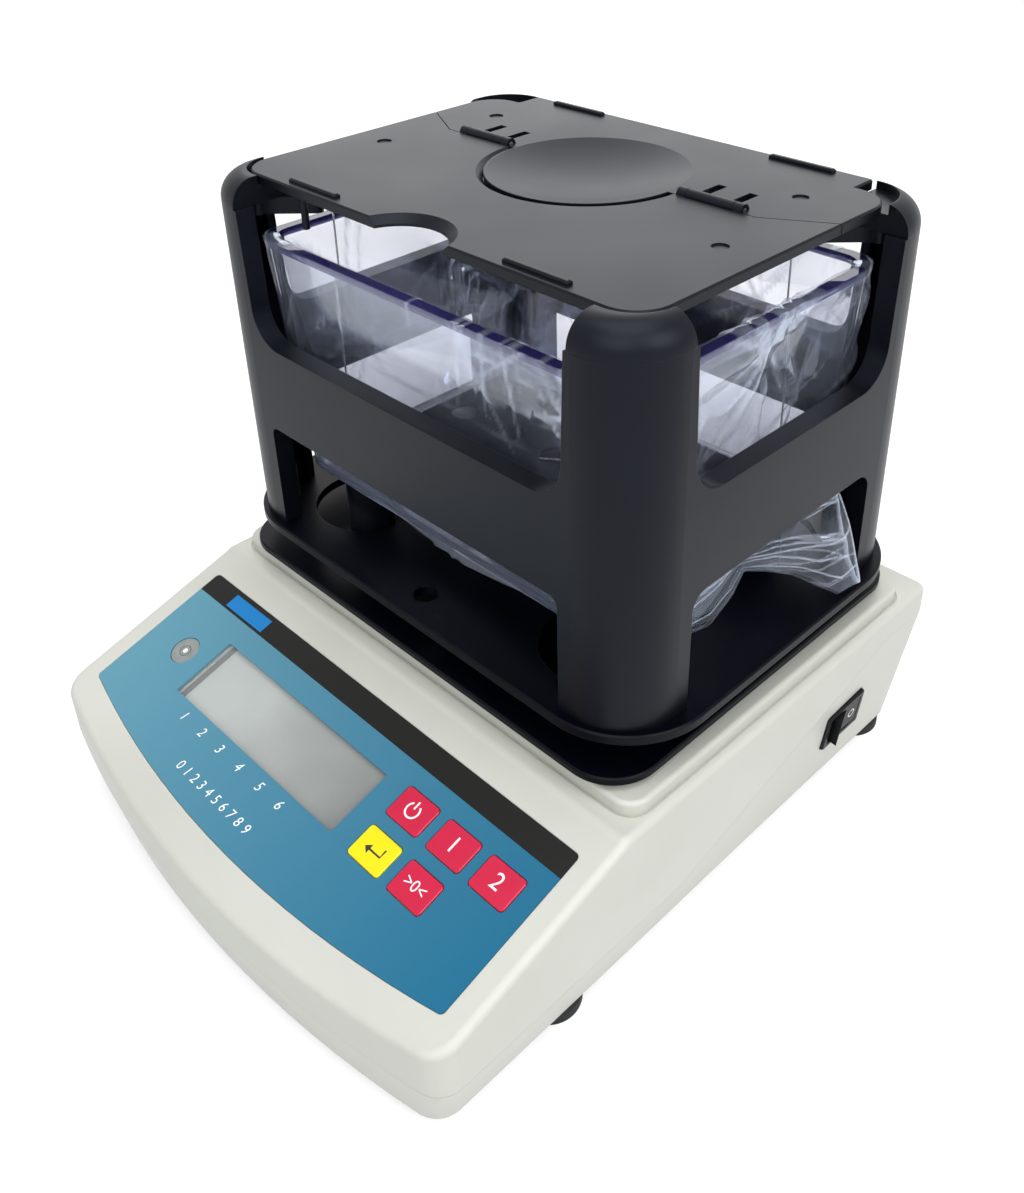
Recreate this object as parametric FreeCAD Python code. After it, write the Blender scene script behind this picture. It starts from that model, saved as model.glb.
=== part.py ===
"""Benchtop density meter: balance housing, weighing platform, measuring frame, lid and water tank.

Millimetres. X to the right seen from the operator's side, Y away from the operator, Z up.
The origin is on the bench, under the middle of the housing.
"""
import FreeCAD, Part
import math
import os

V = FreeCAD.Vector

# ---------------------------------------------------------------------------
# Driving dimensions
# ---------------------------------------------------------------------------
# Housing
base_width = 194.0
base_bottom = 4.5            # underside of the housing above the bench
front_radius = 394.0         # bow of the front edge, seen from above
front_corner = 9.0
rear_corner = 3.5
least_corner = 0.5           # inside a corner that is rounder than the wall is thick
rim_radius = 2.4             # rounding where the walls meet the top
wall = 3.0
crease_front = 21.4          # height of the parting line at the front
crease_rear = 49.0           # and at the back
ramp_from_front = 102.9      # where the parting line starts to climb, from the front
ramp_from_back = 24.5        # where it levels out, from the back
side_lean = 4.5              # how far the lower walls lean in at the bottom
front_lean = 3.0
rear_lean = 8.0
shoulder_height = 59.0       # ledge round the raised pad
lip_thickness = 1.2
lip_height = 2.0
lip_gap = 0.15

# Raised pad
pad_depth = 138.2
pad_side = 3.5               # pad edge to the housing's side
pad_to_back = 10.7
pad_shift = 0.7              # pad middle behind the platform middle
pad_rise = 4.5
pad_corner = 7.0
pad_rounding = 1.4
groove_width = 0.7
groove_depth = 0.5

# Sloping control panel
panel_tilt = 17.08           # degrees
ledge_depth = 4.0            # flat ledge between pad and step
step_rise = 1.04             # rounded step between panel and ledge
step_radius = 4.0
panel_margin = 8.37          # bare strip above the overlay, along the slope
panel_front = 11.33          # bare strip below the overlay's middle
overlay_inset = 8.2          # overlay edge to the housing's side
overlay_thickness = 0.8
overlay_gap = 0.15
overlay_corner = 1.5

# Keys, along the slope from the overlay's top edge
key_width = 13.5
key_height = 10.4
key_corner = 1.2
key_proud = 0.4
key_bevel = 0.25
key_gap = 0.25
key_travel = 0.4
key_rest_gap = 0.3           # spare depth under a key at full travel
key_stem_radius = 3.2
key_stem_length = 4.1
key_from_side = 12.9         # middle of the last column to the overlay's edge
key_pitch = 17.45
key_row_upper = 19.1
key_row_pitch = 14.8
key_bottom_margin = 12.7     # lowest key to the end of the overlay's side
tact_half = 3.0              # half width of the switch under a key
nub_radius = 1.7
nub_height = 0.4
nub_gap = 0.1

# Display
display_from_side = 30.3
display_to_keys = 8.55
display_top = 16.0
display_height = 22.2
display_corner = 0.6
lens_margin = 2.8
lens_thickness = 1.2
display_depth = 3.0          # display face below the overlay's face
display_margin = 2.0
opening_gap = 0.5
board_depth = 6.6            # top of the display board below the overlay's face
board_thickness = 1.6
board_top = 4.0
board_past_keys = 15.0
board_past_column = 3.0
board_screw_inset = 3.5
board_post_radius = 2.6

# Level vial
vial_from_side = 18.6
vial_down = 27.2
vial_radius = 5.0
vial_gap = 0.2
vial_flange = 7.0
vial_flange_height = 1.6
vial_length = 8.0
vial_sunk = 0.3              # vial's top below the overlay's face

# Rocker switch, on the right wall
switch_from_back = 44.0
switch_z = 26.0
bezel_length = 21.0
bezel_height = 15.0
bezel_proud = 1.1
bezel_sink = 0.8
bezel_wall = 1.0
bezel_gap = 0.2
bezel_bevel = 0.5
collar_depth = 8.0
switch_depth = 18.0
rocker_half = 7.6
rocker_gap = 0.3
rocker_rise = 2.4            # rocker's ends above the wall
rocker_waist = 0.9           # and its middle
rocker_skirt = 2.2           # depth of the sides
rocker_keel = 3.6            # and of the middle, half as wide as this is long
rocker_draw = 0.9            # the sides lean in by this much
rocker_pivot = 1.5           # pivot below the wall's face
rocker_tilt = 10.0           # degrees, each side of the middle
trunnion_radius = 0.8
trunnion_gap = 0.1
trunnion_length = 0.7
blade_length = 7.0
blade_thickness = 0.8
blade_half_width = 3.0
blade_x = 5.0

# Power inlet, in the rear wall
inlet_from_side = 47.0
inlet_z = 30.0
inlet_radius = 4.0
inlet_gap = 0.1
inlet_flange = 5.5
inlet_flange_height = 1.6
inlet_length = 12.0
inlet_bore = 2.9
inlet_floor = 3.0
inlet_pin = 1.0
inlet_nut_height = 2.0
inlet_nut_gap = 0.3

# Feet
foot_radius = 10.0
foot_height = 3.7
foot_bevel = 0.6
foot_inset = 14.0            # foot middle to the housing's side
foot_from_front = 62.5
foot_from_back = 16.0
stud_radius = 3.0
stud_length = 14.0
running_gap = 0.06
nut_radius = 5.5
nut_height = 5.0

# Fasteners
screw_radius = 1.5
screw_gap = 0.06
screw_head_radius = 3.0
screw_head_height = 1.8
small_head_radius = 2.5
head_gap = 0.3               # round a sunk screw head
head_sink = 0.4              # and under it
boss_radius = 4.0
boss_inset = 13.0            # housing bosses to the housing's side
boss_front = 20.0            # front housing bosses, from the front
boss_back = 77.0             # rear housing bosses, from the back
boss_depth = 10.0
boss_floor_gap = 0.1

# Load cell
cell_length = 70.0
cell_width = 15.0
cell_height = 22.0
cell_base_height = 9.0
cell_base_length = 18.0
cell_base_margin = 2.0
cell_bore = 7.0              # radius of the two bores that make the beam bend
cell_bore_spacing = 20.0
cell_slot = 2.0              # half height of the slot between them
cell_screw_end = 4.5         # first screw to the fixed end
cell_screw_pitch = 9.0
cell_thread = 8.0            # screw depth in the beam
cell_sink_gap = 0.8          # room for the platform to sink
post_radius = 9.0
post_clearance = 4.0
flange_radius = 25.0
flange_thickness = 4.0
flange_bevel = 1.0
flange_screw_circle = 17.0

# Main board
main_board_from_side = 21.0
main_board_from_cell = 6.5
main_board_depth = 62.0
main_board_y = 35.0
main_board_lift = 6.0
main_board_corner = 2.0
main_board_screw_inset = 4.0
stand_radius = 3.0
chip_size = 14.0
chip_height = 1.6
chip_shift = (-10.0, -4.0)   # from the board's middle
converter_size = 12.0
converter_height = 9.0
converter_shift = (13.0, 15.0)

# Plates
bench_plate_side = 7.0       # plate edge to the housing's side
bench_plate_overhang = 1.9   # past the pad, front and back
bench_plate_corner = 16.0
bench_plate_thickness = 2.3
spacer_radius = 9.0
spacer_height = 2.3
plate_side = 2.0
plate_overhang = 0.9
plate_corner = 29.0
plate_thickness = 3.0
plate_gap = 9.9              # between the two plates
plate_edge = 0.5             # softened edge
pillar_inset_x = 22.5        # pillar middle to the tank's side
pillar_inset_y = 17.7
pillar_radius = 8.0
pillar_hole_radius = 19.0
pillar_edge = 0.8
pillar_top = 13.0            # above the weighing plate
pillar_thread = 8.0
pillar_pad_height = 1.0
pillar_pad_inset = 1.0
drain_hole_radius = 4.0
drain_from_front = 10.4

# Measuring frame
frame_side = 5.0             # frame to the weighing plate's edge
frame_end = 3.0
frame_corner = 20.0
frame_wall = 3.0
frame_return = 6.5           # depth of the turned-in window edges
return_width = 3.0
lower_post = 25.0            # width of the corner posts beside the lower windows
lower_window_height = 37.9
lower_window_radius_x = 3.0
lower_window_radius_y = 6.0
rail_height = 30.0
upper_post_x = 23.5          # and beside the upper ones
upper_post_y = 24.0
upper_window_radius = 11.5
window_lean = 1.5            # the upper windows widen by this much to each side
cap_step = 1.0
cap_rise = 0.2               # cap tops above the lid
cap_dome = 8.0
frame_boss_inset = 13.5      # screw boss from the corner's centre
frame_boss_radius = 4.5
frame_boss_height = 12.0

# Lid
lid_above_arm = 5.7
lid_thickness = 3.0
lid_side = 8.0               # lid edge to the frame's outside
lid_front_inset = 10.8
lid_rear_inset = 15.2
lid_tab_rear_inset = 5.6
lid_tab_inset = 13.4         # tab to the lid's side
lid_corner = 11.0
lid_tab_corner = 0.8
lid_edge = 0.5
seat_gap = 1.2               # round the lid, inside the corner caps
seat_rear_corner = 16.0
seam_y = 13.5                # from the platform middle
seam_inset = 20.0            # straight middle part of the seam to the lid's side
seam_rear_y = 24.5           # seam at the lid's side edges
seam_gap = 0.35
dish_y = 14.4
dish_radius = 31.0
dish_depth = 4.5
dish_rim = 0.6
dish_shell = 2.0
dish_bevel_radius = 34.0
dish_bevel_depth = 1.6
rib_from_dish = 3.0          # hinge ribs to the rim of the dish
rib_side = 24.9              # hinge ribs to the lid's side
rib_radius = 1.9
rib_front = 3.2              # square ribs to the lid's edge
rib_rear = 2.9
rib_half_width = 1.0
rib_height = 1.2
rib_bevel = 0.5
eye_length = 3.0
eye_gap = 0.2
eye_neck = 1.5
hinge_gap = 0.25
pin_radius = 0.8
pin_gap = 0.05
slot_x = (40.0, 51.0)
slot_width = 3.0
slot_front_y = 18.6
slot_rear_y = 28.0
notch_half = 14.0
notch_depth = 10.0
notch_bevel = 2.5
notch_bevel_depth = 2.2
dimple_radius = 2.4
dimple_depth = 0.5
flap_dimple_inset = 14.0     # from the lid's side
flap_dimple_y = -9.5
lid_dimple_inset = 20.0
lid_dimple_y = 34.5
peg_inset = 29.7
peg_radius = 1.15
peg_length = 10.7

# Water tank
tank_side = 12.5             # tank rim to the frame's outside
tank_end = 10.8
tank_above_rail = 30.3
tank_corner = 10.5
tank_wall = 3.0
tank_draft = 3.0             # degrees
tank_foot_radius = 1.5
rim_height = 2.4
rim_width = 0.5
film = 0.8                   # bag film with its folds
film_gap = 0.5
bag_top_drop = 6.0           # below the tank's rim
tail_overlap = 1.2
# near, far, low and high edge: y in from the frame's rear, z above the weighing plate
tail_start = (56.0, 28.5, 13.0, 35.0)
tail_neck = (48.5, 29.5, 4.0, 28.0)
tail_tip = (37.5, 30.5, 1.3, 9.0)

# Basket
wire_radius = 0.3
wire_gap = 0.05
wire_past_tray = 2.5
wire_bend = 3.0
wire_end = 8.5               # horizontal end held in the arm
arm_above_tank = 6.8
arm_height = 5.5
arm_half_width = 2.0
arm_past_wire = (6.0, 1.5)
arm_root_inset = 10.0        # from the corner's centre, on the diagonal
arm_root_radius = 3.5
step_above_arm = 0.3
tray_side = 22.5             # tray to the tank's rim
tray_end = 19.2
tray_corner = 4.0
tray_thickness = 1.2
tray_clearance = 6.0         # above the tank's floor
tray_hole = 5.5
tray_pitch = 22.0

beyond = 20.0                # how far cutting blocks reach past the housing

# ---------------------------------------------------------------------------
# Worked-out places
# ---------------------------------------------------------------------------
half_width = base_width / 2
overlay_half = half_width - overlay_inset
key_columns = [overlay_half - key_from_side - key_pitch * i for i in (2, 1, 0)]
key_row_lower = key_row_upper + key_row_pitch
overlay_side = key_row_lower + key_height / 2 + key_bottom_margin
display_left = -overlay_half + display_from_side
display_right = key_columns[0] - key_width / 2 - display_to_keys
display_bottom = display_top + display_height
vial_x = -overlay_half + vial_from_side


def bow(side, radius):
    """How far an arc of this radius falls back over half its width."""
    return radius - math.sqrt(radius ** 2 - side ** 2)


# The side profile: the panel, an S-shaped step of two equal arcs, the ledge and the pad
tilt = math.radians(panel_tilt)
step_slope = math.acos((step_radius * (math.cos(tilt) + 1) - step_rise) / (2 * step_radius))
step_run = step_radius * (2 * math.sin(step_slope) - math.sin(tilt))
panel_length = panel_margin + overlay_side + bow(overlay_half, front_radius) + panel_front
base_depth = panel_length * math.cos(tilt) + step_run + ledge_depth + pad_depth + pad_to_back
half_depth = base_depth / 2
ramp_start = -half_depth + ramp_from_front
ramp_end = half_depth - ramp_from_back
pad_half_x = half_width - pad_side
pad_half_y = pad_depth / 2
pad_middle = half_depth - pad_to_back - pad_half_y
pad_front = pad_middle - pad_half_y
middle_y = pad_middle - pad_shift               # middle of the weighing platform
floor_top = base_bottom + wall
pad_top = shoulder_height + pad_rise
bench_plate_bottom = pad_top + spacer_height
bench_plate_top = bench_plate_bottom + bench_plate_thickness
plate_bottom = bench_plate_top + plate_gap
plate_top = plate_bottom + plate_thickness
plate_half_x = half_width - plate_side
plate_half_y = pad_half_y + plate_overhang
frame_half_x = plate_half_x - frame_side
frame_half_y = plate_half_y - frame_end
rail_bottom = plate_top + lower_window_height
rail_top = rail_bottom + rail_height
tank_half_x = frame_half_x - tank_side
tank_half_y = frame_half_y - tank_end
tank_rim = rail_top + tank_above_rail
arm_bottom_z = tank_rim + arm_above_tank
arm_top_z = arm_bottom_z + arm_height
cap_step_z = arm_top_z + step_above_arm
lid_bottom = arm_top_z + lid_above_arm
lid_top = lid_bottom + lid_thickness
cap_top = lid_top + cap_rise
pillar_top_z = plate_top + pillar_top
pads_top = pillar_top_z + pillar_pad_height
tank_bottom = pads_top + film
lid_half_x = frame_half_x - lid_side
lid_front = -frame_half_y + lid_front_inset     # lid edges from the platform middle
lid_rear = frame_half_y - lid_rear_inset
lid_tab_rear = frame_half_y - lid_tab_rear_inset
tray_half_x = tank_half_x - tray_side
tray_half_y = tank_half_y - tray_end
wire_x = tray_half_x + wire_past_tray
wire_y = tray_half_y + wire_past_tray
corners = [(sx, sy) for sx in (-1, 1) for sy in (-1, 1)]
made = {}


# ---------------------------------------------------------------------------
# Small helpers
# ---------------------------------------------------------------------------
def block(x0, x1, y0, y1, z0, z1):
    """A box from its lowest and highest corners."""
    return Part.makeBox(x1 - x0, y1 - y0, z1 - z0, V(x0, y0, z0))


def rod(radius, z0, z1, x=0.0, y=0.0):
    """An upright cylinder."""
    return Part.makeCylinder(radius, z1 - z0, V(x, y, z0))


def bores(places, z0, z1, radius=screw_radius + screw_gap):
    """Upright holes, one at each place."""
    return [rod(radius, z0, z1, x, y) for x, y in places]


def along(edge):
    """Direction of an edge at its middle."""
    return edge.tangentAt((edge.FirstParameter + edge.LastParameter) / 2)


def midpoint(edge):
    """Point at the middle of an edge."""
    return edge.valueAt((edge.FirstParameter + edge.LastParameter) / 2)


def upright(edge):
    """True for an edge that runs straight up."""
    return isinstance(edge.Curve, Part.Line) and abs(along(edge).z) > 0.999


def at_height(z):
    """A test for edges that lie at one height."""
    return lambda edge: abs(edge.BoundBox.ZMin - z) < 0.001 and abs(edge.BoundBox.ZMax - z) < 0.001


def rounded(solid, radius, test):
    """The solid with the edges that pass the test rounded."""
    return solid.makeFillet(radius, [edge for edge in solid.Edges if test(edge)])


def bevelled(solid, size, test):
    """The solid with the edges that pass the test bevelled."""
    return solid.makeChamfer(size, [edge for edge in solid.Edges if test(edge)])


def plate(half_x, half_y, corner, z0, z1, x=0.0, y=0.0):
    """A slab with rounded corners."""
    solid = block(x - half_x, x + half_x, y - half_y, y + half_y, z0, z1)
    return rounded(solid, corner, upright)


def prism(points, direction):
    """A flat outline of straight edges, extruded."""
    return Part.Face(Part.makePolygon(points + points[:1])).extrude(direction)


def joined(solids):
    """One solid from several that touch or overlap."""
    first = solids[0]
    return first.fuse(solids[1:]).removeSplitter() if len(solids) > 1 else first


def keep(name, solids):
    """File a sub-part under its name, one solid or a group of separate ones."""
    made[name] = Part.makeCompound(solids) if isinstance(solids, list) else solids


def placed(shape, placement):
    """A copy of a shape, moved from a face's own frame to the part's frame."""
    copy = shape.copy()
    copy.Placement = placement.multiply(copy.Placement)
    return copy


def face_frame(origin, right, up):
    """Placement of a wall's own frame: x to the right, y up the wall, z outwards."""
    out = right.cross(up)
    matrix = FreeCAD.Matrix(
        right.x, up.x, out.x, origin.x,
        right.y, up.y, out.y, origin.y,
        right.z, up.z, out.z, origin.z)
    return FreeCAD.Placement(matrix)


def screws(places, z, length, head_radius=screw_head_radius, head_up=False):
    """Screws, one at each place, the underside of each head at z."""
    up = V(0, 0, -1 if head_up else 1)
    group = []
    for x, y in places:
        shank = Part.makeCylinder(screw_radius, length, V(x, y, z), up)
        head = Part.makeCylinder(head_radius, screw_head_height, V(x, y, z), -up)
        group.append(joined([shank, head]))
    return group


# ---------------------------------------------------------------------------
# Housing: the plan, the side profile and the parting line
# ---------------------------------------------------------------------------
def crease_height(y):
    """Height of the parting line at a depth y."""
    climb = (crease_rear - crease_front) / (ramp_end - ramp_start)
    return min(max(crease_front + (y - ramp_start) * climb, crease_front), crease_rear)


def plan_prism(inset, z0, z1):
    """The housing seen from above, with its bowed front, as a tall prism with sharp corners."""
    side = half_width - inset
    back = half_depth - inset
    radius = front_radius - inset
    front = inset - half_depth
    left = V(-side, front + bow(side, radius), z0)
    right = V(side, left.y, z0)
    edges = [
        Part.Arc(left, V(0, front, z0), right).toShape(),
        Part.makeLine(right, V(side, back, z0)),
        Part.makeLine(V(side, back, z0), V(-side, back, z0)),
        Part.makeLine(V(-side, back, z0), left)]
    return Part.Face(Part.Wire(edges)).extrude(V(0, 0, z1 - z0))


def corner_radius(radius, inset):
    """Radius of a corner at some depth inside the housing."""
    return max(radius - inset, least_corner)


def round_corners(solid, inset):
    """Round the corners of the plan: wider at the front than at the back."""
    solid = rounded(solid, corner_radius(front_corner, inset), lambda e: upright(e) and midpoint(e).y < 0)
    return rounded(solid, corner_radius(rear_corner, inset), lambda e: upright(e) and midpoint(e).y > 0)


def crease_prism(upper, shift=0.0):
    """All the space above the parting line, or below it."""
    far = half_depth + beyond
    line = [(-far, crease_front), (ramp_start, crease_front), (ramp_end, crease_rear), (far, crease_rear)]
    end = pad_top + beyond if upper else -beyond
    points = [V(-half_width - beyond, y, z + shift) for y, z in line]
    points += [V(-half_width - beyond, far, end), V(-half_width - beyond, -far, end)]
    return prism(points, V(base_width + 2 * beyond, 0, 0))


shoulder_front = pad_front - ledge_depth
panel_end = V(0, shoulder_front - step_run, shoulder_height - step_rise)
up_slope = V(0, math.cos(tilt), math.sin(tilt))
panel_normal = V(0, -math.sin(tilt), math.cos(tilt))
panel_origin = panel_end - up_slope * panel_margin
panel = face_frame(panel_origin, V(1, 0, 0), up_slope)


def arc_point(centre, slope, hollow):
    """Point of one of the step's arcs where the profile has this slope."""
    reach = step_radius if hollow else -step_radius
    return centre + V(0, math.sin(slope), -math.cos(slope)) * reach


def top_profile():
    """Everything under the panel, the rounded step and the ledge."""
    hollow_centre = panel_end + panel_normal * step_radius
    bend = arc_point(hollow_centre, step_slope, True)
    crown_centre = bend + V(0, math.sin(step_slope), -math.cos(step_slope)) * step_radius
    crown = arc_point(crown_centre, 0, False)
    front = panel_end - up_slope * base_depth
    back = V(0, half_depth + beyond, shoulder_height)
    low = min(front.z, 0) - beyond
    edges = [
        Part.makeLine(front, panel_end),
        Part.Arc(panel_end, arc_point(hollow_centre, (tilt + step_slope) / 2, True), bend).toShape(),
        Part.Arc(bend, arc_point(crown_centre, step_slope / 2, False), crown).toShape(),
        Part.makeLine(crown, back),
        Part.makeLine(back, V(0, back.y, low)),
        Part.makeLine(V(0, back.y, low), V(0, front.y, low)),
        Part.makeLine(V(0, front.y, low), front)]
    face = Part.Face(Part.Wire(edges))
    face.translate(V(-half_width - beyond, 0, 0))
    return face.extrude(V(base_width + 2 * beyond, 0, 0))


def top_rim(edge):
    """True for the outer edges of the housing's top."""
    middle = midpoint(edge)
    if upright(edge) or middle.z < crease_front:
        return False
    across = isinstance(edge.Curve, Part.Line) and abs(along(edge).x) > 0.999
    return not across or middle.y > half_depth - 1


def pad_slab(grow, z0, z1):
    """The raised pad's outline, grown or shrunk."""
    corner = max(pad_corner + grow, least_corner)
    return plate(pad_half_x + grow, pad_half_y + grow, corner, z0, z1, y=pad_middle)


def upper_outside():
    """The upper housing as a full block, with its pad."""
    solid = round_corners(plan_prism(0, base_bottom, pad_top), 0).common(top_profile())
    solid = rounded(solid, rim_radius, top_rim)
    pad = rounded(pad_slab(0, shoulder_height - wall, pad_top), pad_rounding, at_height(pad_top))
    groove = pad_slab(groove_width, shoulder_height - groove_depth, pad_top)
    groove = groove.cut(pad_slab(0, shoulder_height - wall, pad_top + 1))
    return solid.cut(groove).fuse(pad)


def upper_inside():
    """The hollow of the upper housing."""
    depth = panel_origin - panel_normal * wall
    turn = depth + up_slope * ((shoulder_height - wall - depth.z) / up_slope.z)
    foot = depth - up_slope * ((depth.z - base_bottom) / up_slope.z)
    far = half_depth + beyond
    outline = [foot, turn, V(0, far, turn.z), V(0, far, base_bottom)]
    points = [point - V(half_width + beyond, 0, 0) for point in outline]
    hollow = round_corners(plan_prism(wall, base_bottom - 1, pad_top), wall)
    hollow = hollow.common(prism(points, V(base_width + 2 * beyond, 0, 0)))
    return hollow.fuse(pad_slab(-wall, shoulder_height - 2 * wall, pad_top - wall))


def lean_cutters(inset):
    """What the leaning lower walls leave out, all round."""
    cutters = []
    far = half_depth + beyond
    out = half_width + beyond
    for side in (-1, 1):
        sections = []
        for y in (-far, ramp_start, ramp_end, far):
            z = crease_height(y)
            top = half_width - inset
            low = top - side_lean * z / (z - base_bottom)
            points = [V(side * x, y, height) for x, height in [(top, z), (out, z), (out, 0), (low, 0)]]
            sections.append(Part.makePolygon(points + points[:1]))
        cutters.append(Part.makeLoft(sections, True, True))
    back = half_depth - inset
    low = back - rear_lean * crease_rear / (crease_rear - base_bottom)
    points = [V(-out, y, z) for y, z in [(back, crease_rear), (far, crease_rear), (far, 0), (low, 0)]]
    cutters.append(prism(points, V(2 * out, 0, 0)))
    centre = front_radius - half_depth
    radius = front_radius - inset
    low = radius - front_lean * crease_front / (crease_front - base_bottom)
    outer = front_radius + beyond
    outline = [(radius, crease_front), (outer, crease_front), (outer, 0), (low, 0)]
    points = [V(0, centre - reach, z) for reach, z in outline]
    face = Part.Face(Part.makePolygon(points + points[:1]))
    sweep = 2 * math.degrees(math.asin(out / front_radius))
    face.rotate(V(0, centre, 0), V(0, 0, 1), -sweep / 2)
    cutters.append(face.revolve(V(0, centre, 0), V(0, 0, 1), sweep))
    return cutters


def lower_corner(inset, end):
    """A test for the leaning corner edges at the front (-1) or the back (1)."""
    reach = bow(half_width, front_radius) + rear_lean

    def test(edge):
        middle = midpoint(edge)
        near_side = abs(middle.x) > half_width - inset - side_lean - 1
        near_end = abs(end * middle.y - half_depth) < reach
        return near_side and near_end and abs(along(edge).z) > 0.8

    return test


def lower_block(inset, z0):
    """The lower housing as a full block, its walls leaning in below the parting line."""
    solid = plan_prism(inset, z0, crease_rear + 5).common(crease_prism(False))
    for cutter in lean_cutters(inset):
        solid = solid.cut(cutter)
    solid = rounded(solid, corner_radius(front_corner, inset), lower_corner(inset, -1))
    return rounded(solid, corner_radius(rear_corner, inset), lower_corner(inset, 1))


def lip():
    """The tongue that lines the two housings up: half its height stays in the lower one."""
    top = crease_rear + 2 * lip_height
    inner = plan_prism(wall + lip_gap + lip_thickness, base_bottom, top)
    root = plan_prism(wall - lip_gap, base_bottom, top).cut(inner)
    root = root.common(crease_prism(False)).common(crease_prism(True, -lip_height))
    tongue = plan_prism(wall + lip_gap, base_bottom, top).cut(inner)
    tongue = tongue.common(crease_prism(True, -lip_height)).common(crease_prism(False, lip_height))
    within = round_corners(plan_prism(wall + lip_gap, base_bottom, top), wall)
    return root.fuse(tongue).common(within)


# ---------------------------------------------------------------------------
# Places on the walls
# ---------------------------------------------------------------------------
def down(place, height=0.0):
    """A point on the panel: x across, distance down the slope from the overlay's top edge."""
    return V(place[0], -place[1], height)


def pin(radius, place, z0, z1):
    """A cylinder square to the panel, between two heights above it."""
    return Part.makeCylinder(radius, z1 - z0, down(place, z0))


key_places = {
    "key_power": (key_columns[0], key_row_upper),
    "key_one": (key_columns[1], key_row_upper),
    "key_two": (key_columns[2], key_row_upper),
    "key_enter": (key_columns[0], key_row_lower),
    "key_zero": (key_columns[1], key_row_lower)}
vial_place = (vial_x, vial_down)

switch_y = half_depth - switch_from_back
switch_crease = crease_height(switch_y)
switch_x = half_width - side_lean * (switch_crease - switch_z) / (switch_crease - base_bottom)
side_angle = math.atan2(side_lean, switch_crease - base_bottom)
side_up = V(math.sin(side_angle), 0, math.cos(side_angle))
side_wall = face_frame(V(switch_x, switch_y, switch_z), V(0, 1, 0), side_up)

rear_angle = math.atan2(rear_lean, crease_rear - base_bottom)
rear_up = V(0, math.sin(rear_angle), math.cos(rear_angle))
inlet_y = half_depth - rear_lean * (crease_rear - inlet_z) / (crease_rear - base_bottom)
rear_wall = face_frame(V(half_width - inlet_from_side, inlet_y, inlet_z), V(-1, 0, 0), rear_up)

foot_x = half_width - foot_inset
foot_front_y = -half_depth + foot_from_front
foot_rear_y = half_depth - foot_from_back
foot_places = {
    "foot_front_left": (-foot_x, foot_front_y),
    "foot_front_right": (foot_x, foot_front_y),
    "foot_rear_left": (-foot_x, foot_rear_y),
    "foot_rear_right": (foot_x, foot_rear_y)}
boss_places = [(side * (half_width - boss_inset), y) for side in (-1, 1)
               for y in (-half_depth + boss_front, half_depth - boss_back)]
pillar_places = [(sx * (tank_half_x - pillar_inset_x), middle_y + sy * (tank_half_y - pillar_inset_y))
                 for sx, sy in corners]
display_middle = ((display_left + display_right) / 2, (display_top + display_bottom) / 2)
display_half = ((display_right - display_left) / 2, (display_bottom - display_top) / 2)


def display_slab(grow, z0, z1):
    """A slab in the display's outline, in the panel's own frame."""
    return plate(display_half[0] + grow, display_half[1] + grow, display_corner, z0, z1,
                 display_middle[0], -display_middle[1])


def overlay_slab(grow, z0, z1):
    """The overlay's outline, with the bowed lower edge, in the panel's own frame."""
    side = overlay_half + grow
    bottom = -overlay_side - grow
    lowest = V(0, bottom - bow(side, front_radius), z0)
    points = [V(-side, bottom, z0), V(side, bottom, z0), V(side, grow, z0), V(-side, grow, z0)]
    edges = [Part.Arc(points[0], lowest, points[1]).toShape()]
    edges += [Part.makeLine(points[i], points[(i + 1) % 4]) for i in (1, 2, 3)]
    solid = Part.Face(Part.Wire(edges)).extrude(V(0, 0, z1 - z0))
    return rounded(solid, overlay_corner + grow, upright)


def key_slab(grow, z0, z1, place):
    """A key's outline, in the panel's own frame."""
    return plate(key_width / 2 + grow, key_height / 2 + grow, key_corner + grow, z0, z1,
                 place[0], -place[1])


# ---------------------------------------------------------------------------
# Upper and lower housing
# ---------------------------------------------------------------------------
key_pocket = key_travel + key_rest_gap
board_left = display_left - lens_margin
board_right = key_columns[2] + key_width / 2 + board_past_column
board_bottom = key_row_lower + board_past_keys
board_screw_places = [(x, y) for x in (board_left + board_screw_inset, board_right - board_screw_inset)
                      for y in (board_top + board_screw_inset, board_bottom - board_screw_inset)]
bore_radius = screw_radius + screw_gap
head_pocket = screw_head_height + head_sink
deep = wall + beyond

upper_full = upper_outside()
upper_solid = upper_full.cut(upper_inside()).common(crease_prism(True))
boss_rods = bores(boss_places, floor_top + boss_floor_gap, pad_top, boss_radius)
upper_solid = upper_solid.fuse([boss.common(upper_full) for boss in boss_rods])
board_posts = [pin(board_post_radius, place, -board_depth, 0.5 - wall) for place in board_screw_places]
upper_solid = upper_solid.fuse([placed(post, panel) for post in board_posts])
panel_cuts = [pin(bore_radius, place, -board_depth, -wall) for place in board_screw_places]
panel_cuts += [
    overlay_slab(overlay_gap, -overlay_thickness, 5),
    display_slab(lens_margin, -overlay_thickness - lens_thickness, 5),
    display_slab(opening_gap, -deep, 5),
    pin(vial_radius + vial_gap, vial_place, -deep, 5)]
for place in key_places.values():
    panel_cuts.append(key_slab(key_gap, -overlay_thickness - key_pocket, 5, place))
    panel_cuts.append(pin(key_stem_radius + key_gap, place, -deep, 5))
upper_cuts = [placed(cutter, panel) for cutter in panel_cuts]
upper_cuts += bores(boss_places, floor_top, floor_top + boss_depth + 1)
upper_cuts += bores(pillar_places, shoulder_height, pad_top + 5)
upper_cuts.append(rod(post_radius + post_clearance, shoulder_height - 3 * wall, pad_top + 5, 0, middle_y))
for cutter in upper_cuts:
    upper_solid = upper_solid.cut(cutter)
keep("upper_housing", upper_solid.removeSplitter())

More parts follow.
